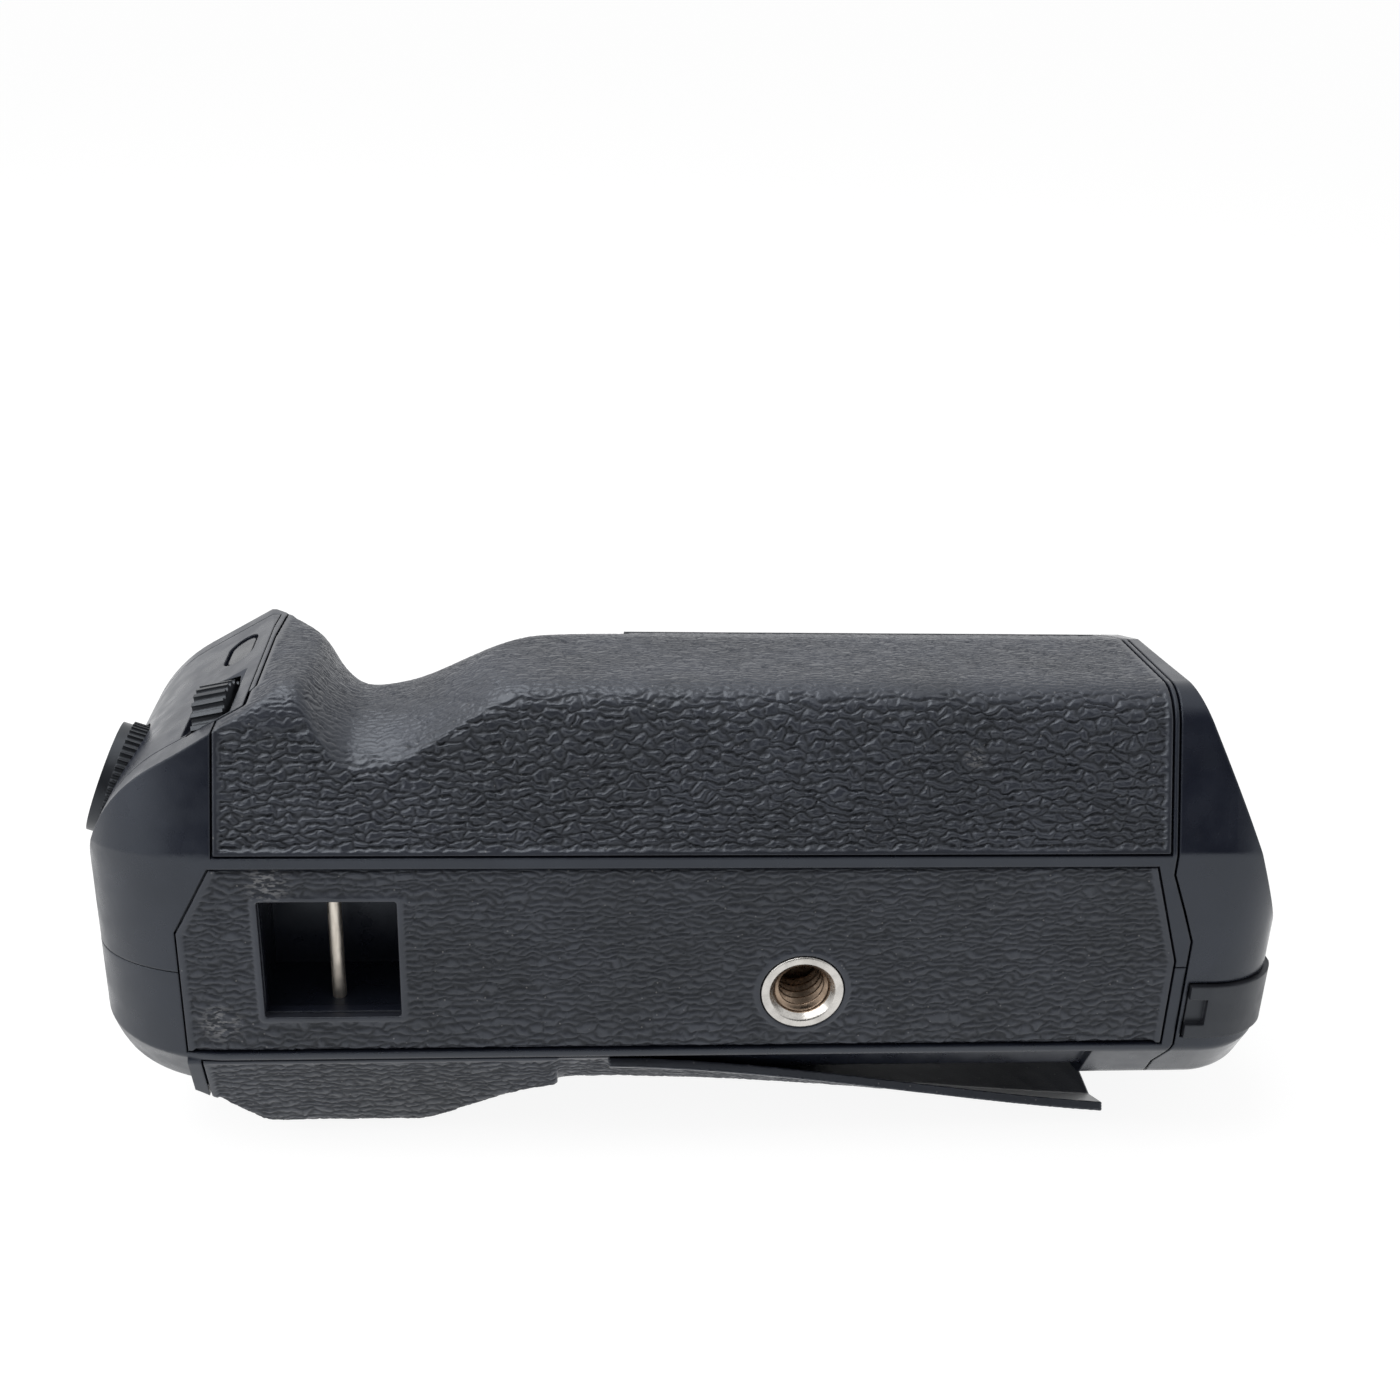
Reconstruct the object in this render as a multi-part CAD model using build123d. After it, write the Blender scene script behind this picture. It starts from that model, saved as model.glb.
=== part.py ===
from build123d import *
import math
import os

os.makedirs("parts", exist_ok=True)

# A battery grip that fastens under a camera, lying on its rear side. Sizes are in millimetres.
# The layout starts at the tripod socket: X runs from the control end to the battery door,
# Y runs from the base up to the face that meets the camera, and Z runs to the front.

# Fits and walls
OVERRUN = 30.0
SKIN = 1.1
SHELL = 1.9
SKIN_GAP = 0.22
SEAM_GAP = 0.15
RUN_GAP = 0.3
SEAT_GAP = 0.12

# Cross-section of the body
BODY_HEIGHT = 38.0
BASE_FRONT = 18.0
BASE_REAR = 8.5
RIDGE_FRONT = 34.9
RIDGE_RISE = 7.2
TOP_FALL = 3.6
HEEL_REAR = 14.8
HEEL_RISE = 3.9
BACK_REAR = 18.4
BACK_RISE = 16.0
BASE_EDGE_RADIUS = 1.8
RIDGE_RADIUS = 5.0
HEEL_RADIUS = 3.0
BACK_RADIUS = 12.0
FRONT_BEVEL_WIDTH = 17.0
FRONT_BEVEL_DROP = 6.3

# Outline seen from the base
CONTROL_REACH = 80.5
SHOULDER_FRONT = 21.3
SHOULDER_RADIUS = 19.0
WALL_TILT = 30.5
HIP_REAR = 9.0
HIP_RADIUS = 14.0
HIP_TILT = 40.0
DOOR_REACH = 56.0
DOOR_KNEE = 6.0
DOOR_KNEE_RADIUS = 6.0
DOOR_BEVEL = 11.6
DOOR_BEVEL_SWING = 4.0
DOOR_FOOT_DRAFT = 1.0
DOOR_FOOT_RADIUS = 5.0
CONTROL_ROUND_LENGTH = 15.0
CONTROL_ROUND = 10.0
DOOR_ROUND_LENGTH = 8.0
DOOR_ROUND = 6.0
ROUND_STATION_SHARES = (0.0, 0.3, 0.53, 0.71, 0.85, 0.945, 0.99)

# Finger groove under the shutter horn
GROOVE_START = 63.0
GROOVE_LENGTH = 43.0
GROOVE_AXIS_RISE = 15.0
GROOVE_AXIS_FRONT = 5.0
GROOVE_RADIUS = 25.5
GROOVE_DEPTH = 5.8
GROOVE_SHARES = (
    (-0.04, 1.8), (0.04, 1.45), (0.11, 1.1), (0.165, 0.76), (0.2, 0.34), (0.235, 0.03), (0.28, -0.2),
    (0.345, -0.2), (0.415, -0.1), (0.512, 0.18), (0.65, 0.63), (0.79, 0.9), (1.0, 1.03),
)
GROOVE_FLOOR_SHARE = 0.335
GROOVE_SWING = 75.0

# Thumb rest at the rear
REST_REAR = 23.5
REST_ROOT = 14.5
REST_START = 70.0
REST_LENGTH = 42.0
REST_NOSE_RISE = 5.2
REST_NOSE_REAR = 21.8
REST_FLAT_START = 9.5
REST_FLAT_END = 24.8
REST_END = 28.6
REST_CORNER_RADIUS = 2.5
REST_SHARES = (
    (0.0, 0.0), (0.09, 0.40), (0.2, 0.86), (0.34, 1.0), (0.5, 0.98),
    (0.67, 0.7), (0.79, 0.40), (1.0, 0.05),
)

# Shell partings and skin borders
SHELL_PARTING = 3.0
CAP_LENGTH = 14.7
SEAM_REACH = DOOR_REACH - CAP_LENGTH
SEAM_BULGE = 3.3
SEAM_BULGE_SHARES = ((0.856, 0.0), (0.578, 0.58), (0.361, 1.0), (-0.433, 1.0), (-0.639, 0.55))
FRONT_SKIN_START = 65.0
FRONT_SKIN_HORN = 61.2
FRONT_SKIN_HORN_RISE = 12.5
FRONT_SKIN_STEP = 4.2
FRONT_SKIN_MARGIN = 0.8
FRONT_SKIN_END = SEAM_REACH - FRONT_SKIN_MARGIN
SKIN_RIM = 1.7
BASE_SKIN_FRONT = 16.3
BASE_SKIN_REAR = 7.6
BASE_SKIN_START = 69.8
BASE_SKIN_CORNER = 4.2
BASE_SKIN_NOSE = 1.7
BASE_SKIN_END = SEAM_REACH + BASE_SKIN_NOSE
BASE_SKIN_WAIST = 3.8
REAR_SKIN_START = 68.3
REAR_SKIN_FRONT = 9.0
REAR_SKIN_RISE = 24.5
REAR_SKIN_RECESS_MARGIN = 6.3
REAR_SKIN_RECESS_END = SEAM_REACH - REAR_SKIN_RECESS_MARGIN
FLAP_MARGIN = 2.3
FLAP_LENGTH = 17.0
FLAP_END = SEAM_REACH - FLAP_MARGIN
FLAP_START = FLAP_END - FLAP_LENGTH
FLAP_SHARES = ((0.0, 0.0), (0.3, 0.2), (0.65, 0.62), (1.0, 1.0))
FLAP_LIP_RISE = 4.6
FLAP_LIP_REAR = 20.5
FLAP_TOUCH_RISE = 9.5

# Strap lug
STRAP_X = -53.2
STRAP_Z = 4.7
STRAP_WINDOW = 15.2
STRAP_LIP = 0.7
STRAP_LIP_DEPTH = 2.6
STRAP_DEPTH = 12.5
STRAP_WALL = 1.2
STRAP_BAR = 0.8
STRAP_BAR_DEPTH = 5.6

# Tripod socket and chassis
SOCKET_RING = 9.5
SOCKET_MOUTH = 7.4
SOCKET_THREAD = 5.2
SOCKET_LENGTH = 8.2
SOCKET_BLIND = 0.9
SOCKET_PROUD = 0.1
CHASSIS_THICK = 1.8
CHASSIS_START = 20.0
CHASSIS_MARGIN = 5.3
CHASSIS_END = SEAM_REACH - CHASSIS_MARGIN
CHASSIS_FRONT = 13.0
CHASSIS_REAR = 6.0

# Battery well and magazine
WELL_RISE = 8.8
WELL_CLEAR = 0.5
WELL_FRONT = 26.2
WELL_REAR = 10.9
WELL_START = 30.0
WELL_WALL = 1.2
LIP_LENGTH = 2.6
LIP_THICK = 1.1
GASKET_GAP = 0.1
TRAY_WALL = 1.3
TRAY_FLANGE = 2.0
TRAY_END_GAP = 1.6
CAP_FLOOR = 2.0
CONTACT_THICK = 0.5
CONTACT_SIZE = 7.0
CONTACT_PITCH = 16.0
CONTACT_STEM = 0.8
PACK_SPRING_RISE = 1.8
PACK_SPRING_LENGTH = 34.0
PACK_SPRING_WIDTH = 9.0
PACK_SPRING_THICK = 0.4
TRAY_SCREW_SHANK = 1.0
TRAY_SCREW_HEAD = 1.9
TRAY_SCREW_SHARES = (0.28, 0.62)

# Battery door lock
LOCK_RISE = 25.0
LOCK_REAR = 3.0
LOCK_RADIUS = 6.8
LOCK_SHAFT = 2.4
LOCK_CAM_INSET = 3.3
LOCK_CAM_START = SEAM_REACH + LOCK_CAM_INSET
LOCK_CAM_LENGTH = 9.0
LOCK_CAM_WIDTH = 4.2
LOCK_CAM_THICK = 1.6
LOCK_CAM_HUB = 3.4
LOCK_SINK = 2.3
LOCK_STAND = 0.4
CAP_HOLLOW_BASE = 14.5
CAP_HOLLOW_FAR = 30.2
CAP_HOLLOW_FRONT = 25.0
CAP_HOLLOW_REAR = 13.9
STRIKE_THICK = 1.2
STRIKE_REAR = 13.6
STRIKE_MARGIN = 8.3
STRIKE_START = SEAM_REACH - STRIKE_MARGIN
STRIKE_FOOT = 4.6
STRIKE_BASE = 20.0
STRIKE_WIDTH = 9.6
STRIKE_HOOK = 1.1
STRIKE_PLAY = 0.4
KEY_THICK = 1.2
KEY_RADIUS = 5.4
KEY_PIN = 0.5

# Power port
PORT_FRONT = 0.6
PORT_REAR = 6.5
PORT_LENGTH = 10.6
PORT_START = DOOR_REACH - PORT_LENGTH
PORT_END_RISE = 15.0
PORT_PROUD = 0.6
PORT_GAP = 0.25
PORT_NAIL = 0.7
PORT_NAIL_LENGTH = 2.2
JACK_RISE = 8.6
JACK_INSET = 8.5
JACK_BACK = DOOR_REACH - JACK_INSET
JACK_RADIUS = 3.2
JACK_BORE = 1.9

# Shutter button and its collar
SHUTTER_RISE = 20.0
SHUTTER_TILT = 20.0
COLLAR_RADIUS = 7.0
COLLAR_BORE = 5.3
BOSS_WALL = 0.9
BOSS_STAND = 0.9
COLLAR_SINK = 2.0
COLLAR_STAND = 1.7
COLLAR_RIB_COUNT = 48
COLLAR_RIB = 0.4
BUTTON_STAND = 0.5
BUTTON_STEM = 1.8
BUTTON_TRAVEL = 1.0
BUTTON_DISH = 16.0
BUTTON_DISH_DEPTH = 0.4
BUTTON_PLAY = 1.5
BUTTON_EDGE = 0.3
SWITCH_RADIUS = 4.4
SWITCH_LENGTH = 4.4
SWITCH_BORE = 2.9
SWITCH_FLOOR = 0.9
SWITCH_DROP = 0.8
DOME_THICK = 0.25
DOME_RISE = 0.6

# Command dials
DIAL_RADIUS = 8.5
DIAL_STAND = 1.6
DIAL_WIDTH = 3.6
DIAL_RIDGES = 32
DIAL_RIDGE = 0.55
DIAL_AXLE = 1.0
DIAL_SLOT_GAP = 0.45
FRONT_DIAL_INSET = 14.1
FRONT_DIAL_TILT = 12.0
FRONT_DIAL_RISE = 14.6
REAR_DIAL_INSET = 22.5
REAR_DIAL_RISE = 31.5
DIAL_SCOOP_RADIUS = 16.0
DIAL_SCOOP_DEPTH = 1.1
DIAL_SCOOP_WIDTH = 6.4
CHEEK_THICK = 1.0
CHEEK_WIDTH = 5.0

# Push buttons
FUNCTION_INSET = 14.7
FUNCTION_RISE = 28.4
FUNCTION_LENGTH = 6.4
FUNCTION_WIDTH = 3.2
FUNCTION_DEPTH = 1.0
FUNCTION_DISH = 0.5
FUNCTION_FLANGE = 0.5
FUNCTION_SUNK = 0.2
PUSH_GAP = 0.3
PUSH_TRAVEL = 0.6
PUSH_EDGE = 0.5
PUSH_RADIUS = 3.0
PUSH_FLANGE = 3.5
PUSH_FLANGE_THICK = 0.9
PUSH_STAND = 1.1
PUSH_RISE = 31.2
PUSH_REACH = 34.0
PUSH_PITCH = 9.5
PUSH_BOARD_PLAY = 0.3
PUSH_BOARD_THICK = 1.0
PUSH_BOARD_WIDTH = 7.0
PUSH_POST = 0.8

# Control panel set in the end wall
PANEL_RISE = 8.4
PANEL_STEP = 0.8
PANEL_RIM = 2.2
PANEL_FOOT = 9.0

# Camera side
PLATE_THICK = 2.6
PAD_THICK = 0.6
SCREW_REAR = 7.0
SCREW_RADIUS = 3.1
SCREW_STAND = 5.6
SCREW_SHAFT = 3.6
WHEEL_RADIUS = 15.8
WHEEL_THICK = 4.0
WHEEL_RIDGES = 48
WHEEL_RIDGE = 0.5
BUSH_RADIUS = 5.2
PIN_RADIUS = 1.5
PIN_STAND = 3.4
PIN_ROOT = 1.8
PIN_FRONT = 13.0
PIN_MARGIN = 7.3
PIN_SPAN = SEAM_REACH - PIN_MARGIN
PIN_FLANGE = 2.4
PIN_FLANGE_THICK = 0.9
CONTACT_BLOCK_REACH = 30.0
CONTACT_BLOCK_LENGTH = 17.0
CONTACT_BLOCK_WIDTH = 6.0
CONTACT_BLOCK_STAND = 1.4
CONTACT_BLOCK_REAR = 4.0
CONTACT_PIN_RADIUS = 0.6
CONTACT_PIN_COUNT = 6
CONTACT_PIN_STAND = 0.9
CONTACT_FLANGE = 1.2
PAD_HOLE_GAP = 0.6
PLATE_SCREW_RADIUS = 1.9
PLATE_SCREW_SHANK = 1.0
PLATE_SCREW_HEAD = 1.2
PLATE_SCREW_LENGTH = 6.0
COLUMN_RADIUS = 2.3
COLUMN_SHARES = ((-0.876, 0.42), (-0.882, -0.33))
WELL_BOSS_SHARES = ((0.5, 1.05), (0.82, -0.36))

# Electronics
BOARD_THICK = 1.2
BOARD_START = 62.0
BOARD_END = 33.0
BOARD_FRONT = 12.5
BOARD_REAR = 9.0
ENCODER_THICK = 2.0
ENCODER_RADIUS = 3.3
FLEX_THICK = 0.3
FLEX_WIDTH = 8.0
BEARING_GAP = 0.08
CHIP_SHARES = ((0.24, 0.5, 0.36), (0.55, 0.68, 0.26), (0.8, 0.86, 0.2))


def inset_outline(points, depth):
    """Move every side of a closed polygon inwards by depth."""
    count = len(points)
    turns = sum(
        points[i - 1][0] * points[i][1] - points[i][0] * points[i - 1][1]
        for i in range(count)
    )
    side = math.copysign(1, turns)
    lines = []
    for i in range(count):
        (ax, ay), (bx, by) = points[i], points[(i + 1) % count]
        length = math.hypot(bx - ax, by - ay)
        dx, dy = (bx - ax) / length, (by - ay) / length
        lines.append((ax - dy * side * depth, ay + dx * side * depth, dx, dy))
    moved = []
    for i in range(count):
        ax, ay, adx, ady = lines[i - 1]
        bx, by, bdx, bdy = lines[i]
        reach = ((bx - ax) * bdy - (by - ay) * bdx) / (adx * bdy - ady * bdx)
        moved.append((ax + adx * reach, ay + ady * reach))
    return moved


def rounded_face(plane, points, radii, depth=0):
    """A polygon with rounded corners, moved inwards by depth, with its radii kept concentric."""
    corners = inset_outline(points, depth)
    kept = [max(radius - depth, radius / 4) for radius in radii]
    return plane * make_face(FilletPolyline(*corners, radius=kept, close=True))


def block(x0, x1, y0, y1, z0, z1):
    return Pos((x0 + x1) / 2, (y0 + y1) / 2, (z0 + z1) / 2) * Box(x1 - x0, y1 - y0, z1 - z0)


def prism_y(points, y0, y1):
    """Extrude an XZ polygon from y0 to y1."""
    face = Plane.XZ.offset(-y0) * make_face(Polyline(*points, close=True))
    return extrude(face, y0 - y1)


def prism_x(points, x0, x1):
    """Extrude a YZ polygon from x0 to x1."""
    return extrude(Plane.YZ.offset(x0) * make_face(Polyline(*points, close=True)), x1 - x0)


def along(origin, direction, radius, start, end):
    """A cylinder on an axis, from start to end along it."""
    plane = Plane(origin=origin, z_dir=direction).offset(start)
    return extrude(plane * Circle(radius), end - start)


# Outer form


def body_section(x, depth):
    far = BODY_HEIGHT + OVERRUN
    fall = TOP_FALL / (BODY_HEIGHT - RIDGE_RISE)
    points = [
        (0, -BASE_REAR),
        (0, BASE_FRONT),
        (RIDGE_RISE, RIDGE_FRONT),
        (far, RIDGE_FRONT - fall * (far - RIDGE_RISE)),
        (far, -BACK_REAR),
        (BACK_RISE, -BACK_REAR),
        (HEEL_RISE, -HEEL_REAR),
    ]
    edge = BASE_EDGE_RADIUS
    radii = [edge, edge, RIDGE_RADIUS, edge, edge, BACK_RADIUS, HEEL_RADIUS]
    return rounded_face(Plane.YZ.offset(x), points, radii, depth)


def rounded_end(start, length, depth, round_depth, way):
    """Sections that shrink along a quarter ellipse towards one end."""
    sections = []
    for share in ROUND_STATION_SHARES:
        inset = depth + (round_depth - depth) * (1 - math.sqrt(1 - share * share))
        sections.append(body_section(start + way * (length - depth) * share, inset))
    return loft(sections)


def body_core(depth):
    left = CONTROL_ROUND_LENGTH - CONTROL_REACH
    right = DOOR_REACH - DOOR_ROUND_LENGTH
    middle = extrude(body_section(left, depth), right - left)
    control = rounded_end(left, CONTROL_ROUND_LENGTH, depth, CONTROL_ROUND, -1)
    door = rounded_end(right, DOOR_ROUND_LENGTH, depth, DOOR_ROUND, 1)
    return control + middle + door


def wall_point(reach):
    """Height of the slanted control wall above the base line, at a reach from the socket."""
    return SHOULDER_FRONT + (CONTROL_REACH - reach) * math.tan(math.radians(WALL_TILT))


def outline_prism(depth):
    top = RIDGE_FRONT + GROOVE_DEPTH
    top_reach = CONTROL_REACH - (top - SHOULDER_FRONT) / math.tan(math.radians(WALL_TILT))
    floor = REST_REAR + GROOVE_DEPTH
    hip_run = (floor - HIP_REAR) / math.tan(math.radians(HIP_TILT))
    door_run = DOOR_REACH + OVERRUN
    points = [
        (-top_reach, top),
        (-CONTROL_REACH, SHOULDER_FRONT),
        (-CONTROL_REACH, -HIP_REAR),
        (hip_run - CONTROL_REACH, -floor),
        (door_run, -floor),
        (door_run, top),
    ]
    edge = BASE_EDGE_RADIUS
    radii = [edge, SHOULDER_RADIUS, HIP_RADIUS, edge, edge, edge]
    plane = Plane.XZ.offset(OVERRUN if depth else 0)
    reach = BODY_HEIGHT + (2 * OVERRUN if depth else 0)
    return extrude(rounded_face(plane, points, radii, depth), -reach)


def door_outline(y, depth, top_reach):
    top = RIDGE_FRONT + GROOVE_DEPTH
    slope = (DOOR_REACH - top_reach) / (RIDGE_FRONT - DOOR_KNEE)
    points = [
        (-CONTROL_REACH - OVERRUN, top),
        (-CONTROL_REACH - OVERRUN, -REST_REAR - OVERRUN),
        (DOOR_REACH - DOOR_FOOT_DRAFT, -REST_REAR - OVERRUN),
        (DOOR_REACH - DOOR_FOOT_DRAFT / 2, -BACK_REAR),
        (DOOR_REACH, DOOR_KNEE),
        (top_reach - slope * GROOVE_DEPTH, top),
    ]
    edge = BASE_EDGE_RADIUS
    radii = [edge, edge, edge, DOOR_FOOT_RADIUS, DOOR_KNEE_RADIUS, edge]
    return rounded_face(Plane.XZ.offset(-y), points, radii, depth)


def door_wedge(depth):
    """The slanted door end, which leans inwards towards the camera."""
    lean = DOOR_BEVEL_SWING / BODY_HEIGHT
    top = DOOR_REACH - DOOR_BEVEL
    near = door_outline(-OVERRUN, depth, top + lean * OVERRUN)
    rise = BODY_HEIGHT + OVERRUN
    far = door_outline(rise, depth, top - lean * rise)
    return loft([near, far], ruled=True)


def finger_groove(depth):
    """A ring-shaped cutter: its profile turns round a line inside the grip."""
    base = GROOVE_AXIS_FRONT + GROOVE_RADIUS - depth
    profile = [
        Vector(GROOVE_LENGTH * run - GROOVE_START, GROOVE_AXIS_RISE, base + GROOVE_DEPTH * rise)
        for run, rise in GROOVE_SHARES
    ]
    sky = GROOVE_AXIS_FRONT + GROOVE_RADIUS + OVERRUN
    end = Vector(profile[-1].X, GROOVE_AXIS_RISE, sky)
    start = Vector(profile[0].X, GROOVE_AXIS_RISE, sky)
    edges = [Spline(*profile), Line(profile[-1], end), Line(end, start), Line(start, profile[0])]
    axis = Axis((0, GROOVE_AXIS_RISE, GROOVE_AXIS_FRONT), (1, 0, 0))
    face = make_face(Wire(edges)).rotate(axis, -GROOVE_SWING)
    return revolve(face, axis, 2 * GROOVE_SWING)


def front_bevel(depth):
    """The front falls away towards the camera, from the groove to the door."""
    start = BODY_HEIGHT - FRONT_BEVEL_WIDTH
    top = RIDGE_FRONT - depth
    slope = FRONT_BEVEL_DROP / FRONT_BEVEL_WIDTH
    far = BODY_HEIGHT + OVERRUN
    points = [
        (start, top),
        (far, top - slope * (far - start)),
        (far, top + OVERRUN),
        (start, top + OVERRUN),
    ]
    groove_floor = GROOVE_LENGTH * GROOVE_FLOOR_SHARE - GROOVE_START
    return prism_x(points, groove_floor, DOOR_REACH + OVERRUN)


def thumb_rest(depth):
    points = [
        (0, -BASE_REAR),
        (REST_NOSE_RISE, -REST_NOSE_REAR),
        (REST_FLAT_START, -REST_REAR),
        (REST_FLAT_END, -REST_REAR),
        (REST_END, -BACK_REAR),
        (REST_END, 0),
    ]
    corner = REST_CORNER_RADIUS
    edge = BASE_EDGE_RADIUS / 2
    radii = [edge, corner, corner, corner, edge, edge]
    side = rounded_face(Plane.YZ.offset(-REST_START), points, radii, depth)
    bar = extrude(side, REST_LENGTH)
    drop = REST_REAR - REST_ROOT
    profile = [
        Vector(REST_LENGTH * run - REST_START, 0, depth - REST_ROOT - drop * fall)
        for run, fall in REST_SHARES
    ]
    end = Vector(profile[-1].X, 0, 0)
    start = Vector(profile[0].X, 0, 0)
    edges = [Spline(*profile), Line(profile[-1], end), Line(end, start), Line(start, profile[0])]
    return bar & extrude(make_face(Wire(edges)), -BODY_HEIGHT)


def make_form(depth):
    """The whole outside of the grip, moved inwards by depth. Past zero it has no camera face."""
    core = body_core(depth) & outline_prism(depth)
    core = core & door_wedge(depth)
    core = core - front_bevel(depth) - finger_groove(depth)
    return core + thumb_rest(depth)


FORMS = {}


def form(depth):
    if depth not in FORMS:
        FORMS[depth] = make_form(depth)
    return FORMS[depth]


WALL = SKIN + SHELL
LINER = WALL + RUN_GAP

# Regions of the skins and of the two shells


def front_skin_region(gap):
    """The front leather, which steps round the dial on the control wall."""
    far = BODY_HEIGHT - SKIN_RIM + gap
    start = -FRONT_SKIN_START - gap
    horn = -FRONT_SKIN_HORN - gap
    end = FRONT_SKIN_END + gap
    points = [
        (start, -OVERRUN),
        (end, -OVERRUN),
        (end, far),
        (horn, far),
        (horn, FRONT_SKIN_HORN_RISE),
        (start, FRONT_SKIN_HORN_RISE - FRONT_SKIN_STEP),
    ]
    floor = BASE_FRONT - gap
    face = Plane.XY.offset(floor) * make_face(Polyline(*points, close=True))
    return extrude(face, OVERRUN)


def base_skin_outline(gap):
    points = [
        (-BASE_SKIN_START + BASE_SKIN_CORNER, BASE_SKIN_FRONT),
        (BASE_SKIN_END - BASE_SKIN_WAIST, BASE_SKIN_FRONT),
        (BASE_SKIN_END, BASE_SKIN_WAIST),
        (BASE_SKIN_END, -BASE_SKIN_REAR),
        (-BASE_SKIN_START, -BASE_SKIN_REAR),
        (-BASE_SKIN_START, BASE_SKIN_FRONT / 2),
    ]
    return inset_outline(points, -gap)


def rear_skin_region(gap, end):
    floor = -REST_REAR - OVERRUN
    return block(
        -REAR_SKIN_START - gap, end, -OVERRUN, REAR_SKIN_RISE + gap,
        floor, gap - REAR_SKIN_FRONT,
    )


def seam_outline(shift):
    """The line where the battery door meets the shells, moved towards the door by shift."""
    points = [
        (SEAM_REACH + SEAM_BULGE * bulge + shift, BASE_FRONT * front)
        for front, bulge in SEAM_BULGE_SHARES
    ]
    top = (SEAM_REACH + shift, RIDGE_FRONT + OVERRUN)
    foot = (points[-1][0], -REST_REAR - OVERRUN)
    return [top] + points + [foot]


def door_side(shift):
    """Everything on the battery door's side of the seam."""
    seam = seam_outline(shift)
    far = DOOR_REACH + OVERRUN
    return prism_y(seam + [(far, seam[-1][1]), (far, seam[0][1])], -OVERRUN, BODY_HEIGHT + OVERRUN)


# Places on the slanted control wall

WALL_DIRECTION = Vector(math.cos(math.radians(WALL_TILT)), 0, math.sin(math.radians(WALL_TILT)))
WALL_NORMAL = Vector(-math.sin(math.radians(WALL_TILT)), 0, math.cos(math.radians(WALL_TILT)))


def shutter_frame():
    """Centre of the rounded shoulder, and the way out through the shutter button."""
    tilt = math.radians(WALL_TILT)
    touch = SHOULDER_RADIUS * math.tan((math.pi / 2 - tilt) / 2)
    centre = Vector(
        SHOULDER_RADIUS - CONTROL_REACH, SHUTTER_RISE, SHOULDER_FRONT - touch,
    )
    lean = math.radians(SHUTTER_TILT)
    return centre, Vector(-math.cos(lean), 0, math.sin(lean))


def front_dial_surface():
    reach = CONTROL_REACH - FRONT_DIAL_INSET
    return Vector(-reach, FRONT_DIAL_RISE, wall_point(reach))


def front_dial_axis():
    tilt = math.radians(FRONT_DIAL_TILT)
    return Vector(math.cos(tilt), 0, math.sin(tilt))


def front_dial_centre():
    out = front_dial_axis().cross(Vector(0, 1, 0))
    return front_dial_surface() - out * (DIAL_RADIUS - DIAL_STAND)


def function_place():
    reach = CONTROL_REACH - FUNCTION_INSET
    return Vector(-reach, FUNCTION_RISE, wall_point(reach))


def rear_dial_centre():
    reach = CONTROL_REACH - REAR_DIAL_INSET
    return Vector(-reach, REAR_DIAL_RISE, DIAL_RADIUS - DIAL_STAND - BACK_REAR)


def wheel_span():
    top = BODY_HEIGHT - PLATE_THICK - RUN_GAP
    return top - WHEEL_THICK, top


def well_top():
    low, high = wheel_span()
    return low - WELL_CLEAR


def front_dial_plane():
    """Local Z is the dial's axis, and local Y points out of the wall."""
    return Plane(origin=front_dial_centre(), x_dir=(0, 1, 0), z_dir=front_dial_axis())


def rear_dial_plane():
    return Plane(origin=rear_dial_centre(), x_dir=(-1, 0, 0), z_dir=(0, -1, 0))


def wall_plane(place):
    """A plane on the control wall: its local Y is the grip's Y, its local Z points out."""
    return Plane(origin=place, x_dir=WALL_DIRECTION, z_dir=WALL_NORMAL)


def plate_level():
    return BODY_HEIGHT - PLATE_THICK


# Shells


def strap_hole(gap):
    half = STRAP_WINDOW / 2 + STRAP_LIP + STRAP_WALL + gap
    depth = STRAP_DEPTH + STRAP_WALL + gap
    return block(STRAP_X - half, STRAP_X + half, -OVERRUN, depth, STRAP_Z - half, STRAP_Z + half)


def panel_region(gap):
    return block(
        -CONTROL_REACH - OVERRUN, -FRONT_SKIN_HORN - PANEL_STEP + gap,
        PANEL_RISE - gap, BODY_HEIGHT - PANEL_RIM + gap,
        PANEL_FOOT - gap, RIDGE_FRONT + OVERRUN,
    )


def shells():
    """Both shells in one piece, before the parting and the openings of each."""
    body = form(0) - form(WALL) - door_side(-SEAM_GAP)
    body = body - (front_skin_region(SKIN_GAP) - form(SKIN))
    base = prism_y(base_skin_outline(SKIN_GAP), -OVERRUN, HEEL_RISE / 2)
    body = body - (base - form(SKIN))
    body = body - (rear_skin_region(SKIN_GAP, REAR_SKIN_RECESS_END) - form(SKIN))
    body = body - strap_hole(SEAT_GAP)
    return body - along((0, 0, 0), (0, 1, 0), SOCKET_RING / 2 + SEAT_GAP, -OVERRUN, SOCKET_LENGTH)


def column_places():
    return [Vector(CONTROL_REACH * x, 0, BASE_FRONT * z) for x, z in COLUMN_SHARES]


def boss_places():
    return [Vector(SEAM_REACH * x, 0, BASE_FRONT * z) for x, z in WELL_BOSS_SHARES]


def screw_post(place, start):
    """A post under the mating plate, with a pilot hole for its screw."""
    top = plate_level() - SEAT_GAP
    post = along(place, (0, 1, 0), COLUMN_RADIUS, start, top)
    low = BODY_HEIGHT - PLATE_SCREW_HEAD - PLATE_SCREW_LENGTH - BEARING_GAP
    return post - along(place, (0, 1, 0), PLATE_SCREW_SHANK + BEARING_GAP, low, BODY_HEIGHT)


def half_space(front):
    middle = SHELL_PARTING
    far = RIDGE_FRONT + REST_REAR + OVERRUN
    low, high = (middle + SEAM_GAP / 2, far) if front else (-far, middle - SEAM_GAP / 2)
    side = CONTROL_REACH + DOOR_REACH
    return block(-side, side, -OVERRUN, BODY_HEIGHT + OVERRUN, low, high)


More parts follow.
